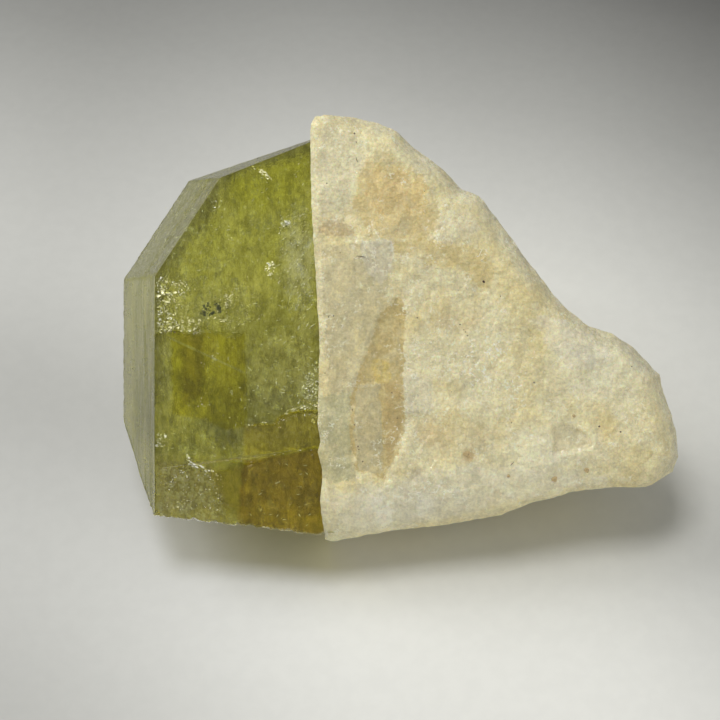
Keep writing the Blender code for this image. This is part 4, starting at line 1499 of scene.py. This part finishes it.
CLUSTERS: dict[str, tuple[Cluster, ...]] = {
    # painted glints: pale gold plates whose bright colour stands in for light caught by fracture surfaces
    "painted_gold_glints": (
        Cluster(((-26.0, 5.4), (-23.0, 5.9), (-18.8, 4.3), (-14.8, 3.2), (-14.8, 1.1), (-17.1, 0.2), (-22.5, -0.6),
                 (-26.0, 0.2)), 170, (0.04, 0.20), (-0.03, 0.10), 2.4, 0.7),
        Cluster(((-26.0, 5.7), (-22.6, 5.0), (-22.4, 3.4), (-23.8, 2.6), (-23.7, -0.2), (-26.0, -0.2)), 130,
                (0.06, 0.42), (-0.03, 0.06), 2.6, 0.7),
        Cluster(((-23.4, 2.4), (-21.3, 2.2), (-21.3, -0.4), (-23.4, -0.4)), 90, (0.06, 0.28), (-0.03, 0.05), 2.8, 0.6,
                (0.6, 1.6)),
        Cluster(((-19.1, 3.9), (-17.9, 3.9), (-17.7, 2.6), (-18.8, 2.4)), 60, (0.06, 0.26), (-0.03, 0.05), 2.2, 0.6),
        Cluster(((-26.0, 1.0), (-20.4, 1.4), (-16.7, 1.0), (-16.7, 0.4), (-20.4, 0.7), (-22.0, -0.5), (-26.0, -0.3)), 140,
                (0.05, 0.26), (-0.03, 0.05), 2.8, 0.5, (-0.5, 0.5)),
        Cluster(((-15.8, 17.5), (-14.6, 17.2), (-13.6, 16.3), (-13.9, 16.0), (-15.0, 16.7)), 30, (0.10, 0.32),
                (-0.03, 0.04), 2.4, 0.4, (-0.9, -0.3)),
        Cluster(((-14.6, 7.6), (-13.3, 7.2), (-13.4, 5.8), (-14.4, 5.9)), 60, (0.06, 0.26), (-0.03, 0.05), 1.8, 0.6),
        Cluster(((-25.0, 14.0), (-9.5, 18.6), (-9.5, -11.0), (-25.8, -9.0), (-26.0, 5.0)), 620, (0.03, 0.14),
                (-0.02, 0.10), 2.8, 0.7),
        Cluster(((-16.7, -10.1), (-13.4, -9.9), (-11.8, -8.4), (-8.8, -7.9), (-8.8, -8.3), (-11.9, -8.8),
                 (-13.6, -10.3), (-16.7, -10.5)), 110, (0.06, 0.24), (-0.03, 0.05), 2.6, 0.6, (-0.3, 0.5)),
    ),
    "hair_lines": (
        Cluster(((-25.0, 13.0), (-18.0, 16.4), (-9.4, 19.0), (-9.3, -8.0), (-16.4, -9.6), (-25.8, 5.0)), 420, (0.08, 0.36),
                (-0.02, 0.02), 6.5, 0.4),
        Cluster(((-12.8, 12.4), (-9.4, 13.4), (-9.3, 0.0), (-12.8, -2.0), (-13.3, 4.3)), 160, (0.12, 0.5), (-0.02, 0.02),
                7.5, 0.4, (0.5, 1.3)),
        Cluster(((-16.4, -1.0), (-9.2, -1.0), (-9.2, -3.0), (-11.5, -8.0), (-16.2, -9.4)), 80, (0.12, 0.4), (-0.02, 0.02),
                6.5, 0.4),
        Cluster(((-24.6, -9.0), (-16.8, -9.0), (-16.8, -13.6), (-25.0, -13.0)), 60, (0.1, 0.36), (-0.02, 0.02), 8.0, 0.3),
        Cluster(((-16.4, -14.6), (-9.4, -13.6), (-9.4, -21.0), (-18.0, -20.0)), 60, (0.1, 0.36), (-0.02, 0.02), 8.0, 0.3),
    ),
    # white flakes: partly white inclusions, partly painted glints along step edges, chips and the rough foot
    "white_flakes_and_glints": (
        Cluster(((-8.7, -3.4), (-9.6, -3.8), (-10.6, -5.9), (-10.9, -8.0), (-10.3, -9.6), (-8.8, -10.1)), 240,
                (0.05, 0.26), (-0.02, 0.25), 2.0, 0.6),
        Cluster(((-12.9, 11.6), (-12.6, 12.0), (-12.1, 12.1), (-11.8, 11.7), (-12.0, 11.2), (-12.5, 11.1)), 22,
                (0.10, 0.26), (-0.01, 0.1), 1.2, 0.3),
        Cluster(((-25.9, 2.6), (-23.8, 2.6), (-23.7, -0.3), (-25.9, -0.3)), 90, (0.06, 0.26), (-0.03, 0.05), 2.4, 0.6),
        Cluster(((-25.8, 5.6), (-22.6, 5.2), (-22.8, 3.6), (-25.8, 3.8)), 60, (0.05, 0.2), (-0.03, 0.05), 2.4, 0.6),
        Cluster(((-26.1, 5.6), (-25.7, 5.6), (-25.7, 1.6), (-26.1, 1.6)), 50, (0.05, 0.2), (-0.02, 0.04), 3.2, 0.5, (1.2, 1.9)),
        Cluster(((-22.8, 0.2), (-22.2, 0.3), (-21.8, -0.5), (-22.4, -0.7)), 10, (0.10, 0.24), (-0.02, 0.05), 2.4, 0.3,
                (0.8, 1.4)),
        Cluster(((-14.3, 7.2), (-13.9, 7.2), (-13.9, 6.8), (-14.3, 6.8)), 6, (0.12, 0.22), (-0.02, 0.02), 1.3, 0.2),
        Cluster(((-20.0, 13.9), (-19.1, 13.9), (-19.1, 13.2), (-20.0, 13.1)), 5, (0.06, 0.20), (-0.02, 0.04), 1.6, 0.4),
        Cluster(((-12.8, 12.4), (-9.4, 13.4), (-9.3, 2.2), (-11.8, 0.6), (-13.3, 4.3)), 240, (0.04, 0.16), (-0.02, 0.04),
                2.6, 0.7, (0.4, 1.4)),
        Cluster(((-22.9, -13.4), (-21.8, -14.4), (-20.2, -14.9), (-20.1, -15.2), (-22.2, -14.8), (-23.1, -13.6)), 59,
                (0.10, 0.34), (-0.02, 0.1), 2.4, 0.4, (-0.7, -0.1)),
        Cluster(((-22.8, -8.0), (-20.4, -7.9), (-20.4, -8.1), (-22.8, -8.2)), 16, (0.06, 0.18), (-0.02, 0.04), 3.4, 0.3,
                (-0.2, 0.2)),
        Cluster(((-26.0, -11.0), (-25.2, -11.1), (-25.2, -12.6), (-26.0, -12.6)), 30, (0.1, 0.28), (-0.02, 0.1), 1.6, 0.6),
        Cluster(((-16.6, -13.9), (-13.8, -13.3), (-8.8, -12.4), (-8.8, -12.8), (-13.9, -13.7), (-16.7, -14.3)), 18,
                (0.05, 0.18), (-0.02, 0.04), 2.6, 0.5, (-0.2, 0.4)),
        Cluster(((-25.6, -14.8), (-19.0, -15.6), (-19.4, -20.2), (-25.0, -19.4)), 360, (0.03, 0.13), (-0.02, 0.03), 1.8,
                0.8),
        Cluster(((-16.0, -21.0), (-13.0, -21.2), (-13.0, -21.6), (-16.0, -21.4)), 12, (0.05, 0.16), (-0.02, 0.04), 3.0, 0.4,
                (-0.2, 0.2)),
    ),
    "grey_specks": (
        Cluster(((-21.3, 1.7), (-21.1, 2.7), (-20.2, 3.2), (-19.2, 2.9), (-19.0, 2.0), (-20.0, 1.5)), 120, (0.06, 0.22),
                (-0.01, 0.08), 1.4, 0.5),
        Cluster(((-13.4, 18.3), (-13.2, 18.3), (-13.2, 18.1), (-13.4, 18.1)), 2, (0.08, 0.12), (-0.02, 0.04), 1.0, 0.3),
        Cluster(((-12.4, 11.2), (-12.1, 11.2), (-12.1, 11.0), (-12.4, 11.0)), 2, (0.09, 0.12), (-0.02, 0.04), 1.0, 0.3),
        Cluster(((-25.0, 12.0), (-10.0, 16.0), (-10.0, -20.0), (-25.0, -14.0)), 26, (0.02, 0.06), (0.0, 0.6), 1.2, 0.5),
    ),
}


CRYSTAL = Crystal()


@dataclass
class Inclusions:
    """What grew inside the crystal: fracture plates whose bright pale colour paints glints, white flakes that are
    partly painted glints, grey specks and thin veils.
    """

    veils: Sequence[tuple[Point2, Point2, float, float]] = (
        ((-10.9, 8.0), (2.0, 6.0), -1.2, 0.1), ((-20.0, 3.0), (5.4, 3.0), -1.4, -0.1), ((-21.0, 8.0), (3.6, 3.6), -2.2, 0.2),
        ((-20.2, -2.6), (0.8, 3.0), -0.9, 0.1), ((-14.0, 12.5), (4.6, 4.6), -2.6, -0.15), ((-13.0, -4.0), (3.4, 4.6), -2.0, 0.1),
        ((-22.0, -9.0), (3.0, 5.0), -2.6, -0.1), ((-13.0, -17.5), (4.2, 3.6), -2.8, 0.1), ((-10.7, 2.8), (2.4, 0.8), -1.0, 0.4),
    )

    def flakes(self, name: str, clusters: Sequence[Cluster], seed: int) -> bpy.types.Object:
        """Builds all plates of one kind.

        Args:
            name: The kind.
            clusters: Where they lie.
            seed: The source of chance.

        Returns:
            The piece.
        """
        chance = random.Random(seed)
        points, faces = [], []
        for cluster in clusters:
            area = Outline(cluster.area).ragged(0.3, 0.3, 0.9, chance.random() * 50.0)
            low, high = area.points.min(axis=0), area.points.max(axis=0)
            spots: list[Point2] = []
            while len(spots) < cluster.count:
                spot = (chance.uniform(low[0], high[0]), chance.uniform(low[1], high[1]))
                clump = noise.noise(Vector((spot[0], spot[1] * 0.8, seed)) / 0.6)
                if (cluster.count < 60 or clump > chance.uniform(-0.5, 0.25)) and area.holds(np.array([spot]))[0]:
                    spots.append(spot)
            for spot, level in zip(spots, CRYSTAL.front_relief(np.array(spots))):
                size = cluster.size[0] + (cluster.size[1] - cluster.size[0]) * chance.random() ** 2.2
                sunk = size * 0.6 if cluster.depth[0] > 0.0 else 0.0
                place = Vector((*spot, level - chance.uniform(*cluster.depth) - sunk))
                new, sides = self.plate(place, size, cluster, chance)
                faces += [tuple(i + len(points) for i in side) for side in sides]
                points += new
        return new_piece(name, points, faces)

    def face_drop(self, u: float, v: float) -> float:
        """How far the crystal's front is cut back at a place."""
        if v < -13.0:
            return 0.9
        return 0.45 if v < 0.3 and (u < -16.5 or v < -8.2) else 0.0

    def plate(self, place: Vector, size: float, cluster: Cluster, chance: random.Random) -> tuple[list, list]:
        """A thin six-sided plate, leaning its own way.

        Args:
            place: Its middle.
            size: Its half width.
            cluster: The swarm that it belongs to.
            chance: The source of chance.

        Returns:
            Its points and faces.
        """
        turn = chance.uniform(*cluster.turn)
        lean = [chance.uniform(-1, 1) * cluster.lean for _ in range(2)]
        out = Vector((lean[0], lean[1] + cluster.upward, 1.0)).normalized()
        along = Vector((math.cos(turn), math.sin(turn), 0.0))
        along = (along - out * along.dot(out)).normalized()
        across = out.cross(along)
        points = []
        for i in range(6):
            angle, reach = math.tau * i / 6 + chance.uniform(-0.3, 0.3), size * chance.uniform(0.6, 1.1)
            points.append(place + along * reach * math.cos(angle) + across * reach * math.sin(angle) / cluster.stretch)
        points += [place + out * 0.008, place - out * 0.008]
        faces = [(i, (i + 1) % 6, 6) for i in range(6)] + [((i + 1) % 6, i, 7) for i in range(6)]
        return points, faces

    def veil_piece(self) -> bpy.types.Object:
        """Builds the veils as thin closed sheets that roll a little.

        Returns:
            The piece.
        """
        points, faces = [], []
        for number, (centre, reach, depth, lean) in enumerate(self.veils):
            rows, columns = 18, 12
            for side in (0.012, -0.012):
                for i in range(rows):
                    for j in range(columns):
                        a, r = math.tau * i / rows, (j + 1) / columns
                        u, v = centre[0] + reach[0] * r * math.cos(a), centre[1] + reach[1] * r * math.sin(a)
                        roll = 0.5 * wander(Vector((u, v, number * 9.0)) / 3.0, 3)
                        shift = lean * (u - centre[0]) + roll
                        points.append(Vector((u, v, min(depth + shift, -0.25 - self.face_drop(u, v)) + side)))
            base = number * 2 * rows * columns
            for i in range(rows):
                k = (i + 1) % rows
                for j in range(columns - 1):
                    a, b, c, d = (base + i * columns + j, base + i * columns + j + 1, base + k * columns + j + 1,
                                  base + k * columns + j)
                    faces.append((a, b, c, d))
                    other = rows * columns
                    faces.append((d + other, c + other, b + other, a + other))
                a, b = base + i * columns + columns - 1, base + k * columns + columns - 1
                faces.append((b, a, a + rows * columns, b + rows * columns))
            inner = [base + i * columns for i in range(rows)]
            faces.append(tuple(inner))
            faces.append(tuple(i + rows * columns for i in reversed(inner)))
        return new_piece("healed_veils", points, faces)

    def build(self) -> list[tuple[bpy.types.Object, str]]:
        """Builds everything inside the crystal.

        Returns:
            The pieces, each with the name of its kind.
        """
        made = [(self.flakes(name, CLUSTERS[name], 20 + i), name) for i, name in enumerate(CLUSTERS)]
        made.append((self.veil_piece(), "healed_veils"))
        return made


@dataclass(frozen=True)
class FlakeFinish:
    """The finish of a thin plate inside the crystal."""

    name: str
    colour: Colour
    metallic: float
    roughness: float

    def material(self) -> bpy.types.Material:
        """Builds the material.

        Returns:
            The plates' material.
        """
        material, board, shader, _ = start_material(self.name)
        tone = board.group(EFFECTS.get(Effect.GRAIN), Place=board.place(), Fineness=6.0).outputs["Tone"]
        dim = tuple(c * 0.55 for c in self.colour)
        board.feed(shader.inputs["Base Color"], board.blend(tone, self.colour, dim))
        shader.inputs["Metallic"].default_value = self.metallic
        shader.inputs["Roughness"].default_value = self.roughness
        return material


@dataclass(frozen=True)
class VeilFinish:
    """A faint whitish veil that comes and goes."""

    colour: Colour = (0.86, 0.90, 0.72)
    strength: float = 0.55

    def material(self) -> bpy.types.Material:
        """Builds the material.

        Returns:
            The veils' material.
        """
        material, board, shader, _ = start_material("healed_veils")
        place = board.place()
        shader.inputs["Base Color"].default_value = (*self.colour, 1.0)
        shader.inputs["Roughness"].default_value = 0.4
        wisps = board.group(
            EFFECTS.get(Effect.CLOUD), Place=board.stretched(place, (1.0, 0.45, 1.0)), Fineness=1.1, From=0.48, To=0.72,
        ).outputs[0]
        drops = board.group(EFFECTS.get(Effect.GRAIN), Place=place, Fineness=4.0).outputs["Tone"]
        cover = board.math("MULTIPLY", wisps, board.spread(drops, 0.3, 0.8, (0.3, 1.0)))
        board.feed(shader.inputs["Alpha"], board.math("MULTIPLY", cover, self.strength))
        return material


@dataclass(frozen=True)
class PaperFinish:
    """Pale paper whose colour carries painted shade: darker towards the back and the sides, with a darker band across.
    """

    colour: Colour = (0.88, 0.885, 0.855)
    side_share: float = 0.70
    ends: Point2 = (0.82, 0.17)
    shades: tuple[Point2, ...] = (
        (0.07, 0.86), (0.14, 0.98), (0.22, 0.95), (0.31, 0.75), (0.41, 1.0), (0.51, 0.92), (0.63, 0.70), (0.74, 0.51),
        (0.90, 0.26),
    )

    def material(self) -> bpy.types.Material:
        """Builds the material.

        Returns:
            The floor's material.
        """
        material, board, shader, _ = start_material("pale_paper")
        parts = board.add("ShaderNodeSeparateXYZ")
        board.feed(parts.inputs[0], board.add("ShaderNodeTexCoord").outputs["Object"])
        depth = board.math("ADD", parts.outputs[1], board.math("MULTIPLY", parts.outputs[0], 0.3))
        # painted shade: the paper's colour darkens along its depth, with a darker band, in place of falling light
        painted_shade_ramp = board.add("ShaderNodeValToRGB")
        board.feed(painted_shade_ramp.inputs[0], board.spread(depth, -0.06, 0.10, kind="LINEAR"))
        painted_shade_ramp.color_ramp.interpolation = "B_SPLINE"
        for element, share in zip(painted_shade_ramp.color_ramp.elements, self.ends):
            element.color = (share, share, share, 1.0)
        for stop, share in self.shades:
            painted_shade_ramp.color_ramp.elements.new(stop).color = (share, share, share, 1.0)
        # painted shade: the paper's colour also darkens towards both sides
        aside = board.math("ABSOLUTE", board.math("SUBTRACT", parts.outputs[0], 0.008))
        side = board.spread(aside, 0.010, 0.055, (1.0, self.side_share))
        shade = board.math("MULTIPLY", painted_shade_ramp.outputs[0], side)
        tooth = board.spread(board.noise(board.place(), 0.6, 5.0), 0.3, 0.7, (0.985, 1.01))
        shade = board.math("MULTIPLY", shade, tooth)
        grey = board.add("ShaderNodeCombineColor")
        for socket in grey.inputs:
            board.feed(socket, shade)
        board.feed(shader.inputs["Base Color"], board.blend(1.0, self.colour, grey.outputs[0], "MULTIPLY"))
        shader.inputs["Roughness"].default_value = 0.85
        shader.inputs["Specular IOR Level"].default_value = 0.2
        return material


@dataclass
class Studio:
    """The pale floor, the soft light and the camera."""

    look_at: Point2 = (-4.29, -3.2)
    distance: float = 190.0
    span: float = 77.14

    def floor(self) -> None:
        """Lays the floor."""
        size = 0.6
        corners = [(-size, -size, 0), (size, -size, 0), (size, size, 0), (-size, size, 0)]
        mesh = bpy.data.meshes.new("paper_floor")
        mesh.from_pydata(corners, [], [(0, 1, 2, 3)])
        floor = bpy.data.objects.new("paper_floor", mesh)
        bpy.context.scene.collection.objects.link(floor)
        floor.data.materials.append(PaperFinish().material())

    def lamp(self, name: str, place: Vector, aim: Vector, size: float, power: float, colour: Colour) -> None:
        """Hangs one soft square lamp.

        Args:
            name: Its name.
            place: Where it hangs, in metres.
            aim: What it faces.
            size: Its side in metres.
            power: Its power in watts.
            colour: Its colour.
        """
        data = bpy.data.lights.new(name, "AREA")
        data.size, data.energy, data.color = size, power, colour
        lamp = bpy.data.objects.new(name, data)
        lamp.location = place
        lamp.rotation_euler = (aim - place).to_track_quat("-Z", "Y").to_euler()
        bpy.context.scene.collection.objects.link(lamp)

    def lights(self) -> None:
        """Hangs the lamps and sets the soft surrounding light."""
        aim = Vector((0, 0, 0.015))
        self.lamp("overhead_softbox", Vector((-0.10, 0.02, 0.50)), aim, 0.18, 1.05, (1.0, 0.99, 0.96))
        self.lamp("left_softbox", Vector((-0.37, 0.15, 0.35)), aim, 0.26, 1.08, (1.0, 0.99, 0.96))
        self.lamp("low_softbox", Vector((0.20, -0.24, 0.06)), aim, 0.12, 0.14, (1.0, 0.99, 0.96))
        world = bpy.data.worlds.new("soft_room")
        bpy.context.scene.world = world
        world.use_nodes = True
        sky = world.node_tree.nodes["Background"]
        sky.inputs[0].default_value = (0.96, 0.965, 0.94, 1.0)
        sky.inputs[1].default_value = 0.29

    def camera(self) -> None:
        """Sets the camera square to the specimen's front."""
        data = bpy.data.cameras.new("camera")
        data.sensor_fit = "HORIZONTAL"
        data.sensor_width = 36.0
        data.lens = 36.0 * self.distance / self.span
        data.clip_start = 0.005
        camera = bpy.data.objects.new("camera", data)
        camera.matrix_world = FRONT.matrix() @ Matrix.Translation(Vector((*self.look_at, self.distance)) * MM)
        bpy.context.scene.collection.objects.link(camera)
        bpy.context.scene.camera = camera

    def build(self) -> None:
        """Sets up the whole studio."""
        self.floor()
        self.lights()
        self.camera()
        scene = bpy.context.scene
        scene.view_settings.view_transform = "Standard"
        scene.view_settings.look = "None"
        scene.cycles.max_bounces = 16
        scene.cycles.transmission_bounces = 12
        scene.cycles.transparent_max_bounces = 16
        scene.cycles.sample_clamp_indirect = 6.0
        scene.cycles.caustics_refractive = False


def finishes() -> dict[str, bpy.types.Material]:
    """The materials of the small pieces, by the name of their kind."""
    return {
        # painted glints: the bright pale colours of these plates stand in for light they catch
        "painted_gold_glints": FlakeFinish("painted_gold_glints", (1.0, 0.97, 0.56), 0.15, 0.3).material(),
        "hair_lines": FlakeFinish("hair_lines", (0.62, 0.64, 0.32), 0.0, 0.4).material(),
        # partly white inclusions, partly painted glints
        "white_flakes_and_glints": FlakeFinish("white_flakes_and_glints", (1.0, 1.0, 0.84), 0.1, 0.3).material(),
        "grey_specks": FlakeFinish("grey_specks", (0.05, 0.06, 0.02), 0.0, 0.9).material(),
        "healed_veils": VeilFinish().material(),
        "dark_specks": SpeckFinish("dark_specks", (0.10, 0.06, 0.04)).material(),
        "brown_grains": SpeckFinish("brown_grains", (0.66, 0.50, 0.25)).material(),
    }


def main() -> None:
    """Builds the studio, the rock and the crystal, then the small pieces on and in them."""
    logging.basicConfig(level=logging.INFO, format="%(name)s: %(message)s")
    noise.seed_set(NOISE_SEED)
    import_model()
    Studio().build()
    rock = Rock()
    made = rock.build()
    dress(made, RockFinish().material())
    LOG.info("%s has %d faces", made.name, len(made.data.polygons))
    made = CRYSTAL.build()
    dress(made, CrystalFinish().material())
    LOG.info("%s has %d faces", made.name, len(made.data.polygons))
    small = finishes()
    for parts, slot in ((Specks().build(rock), "feldspar"), (Inclusions().build(), "brazilianite")):
        for piece, kind in parts:
            dress(piece, small[kind])
            LOG.info("%s has %d faces", piece.name, len(piece.data.polygons))


if __name__ == "__main__":
    main()
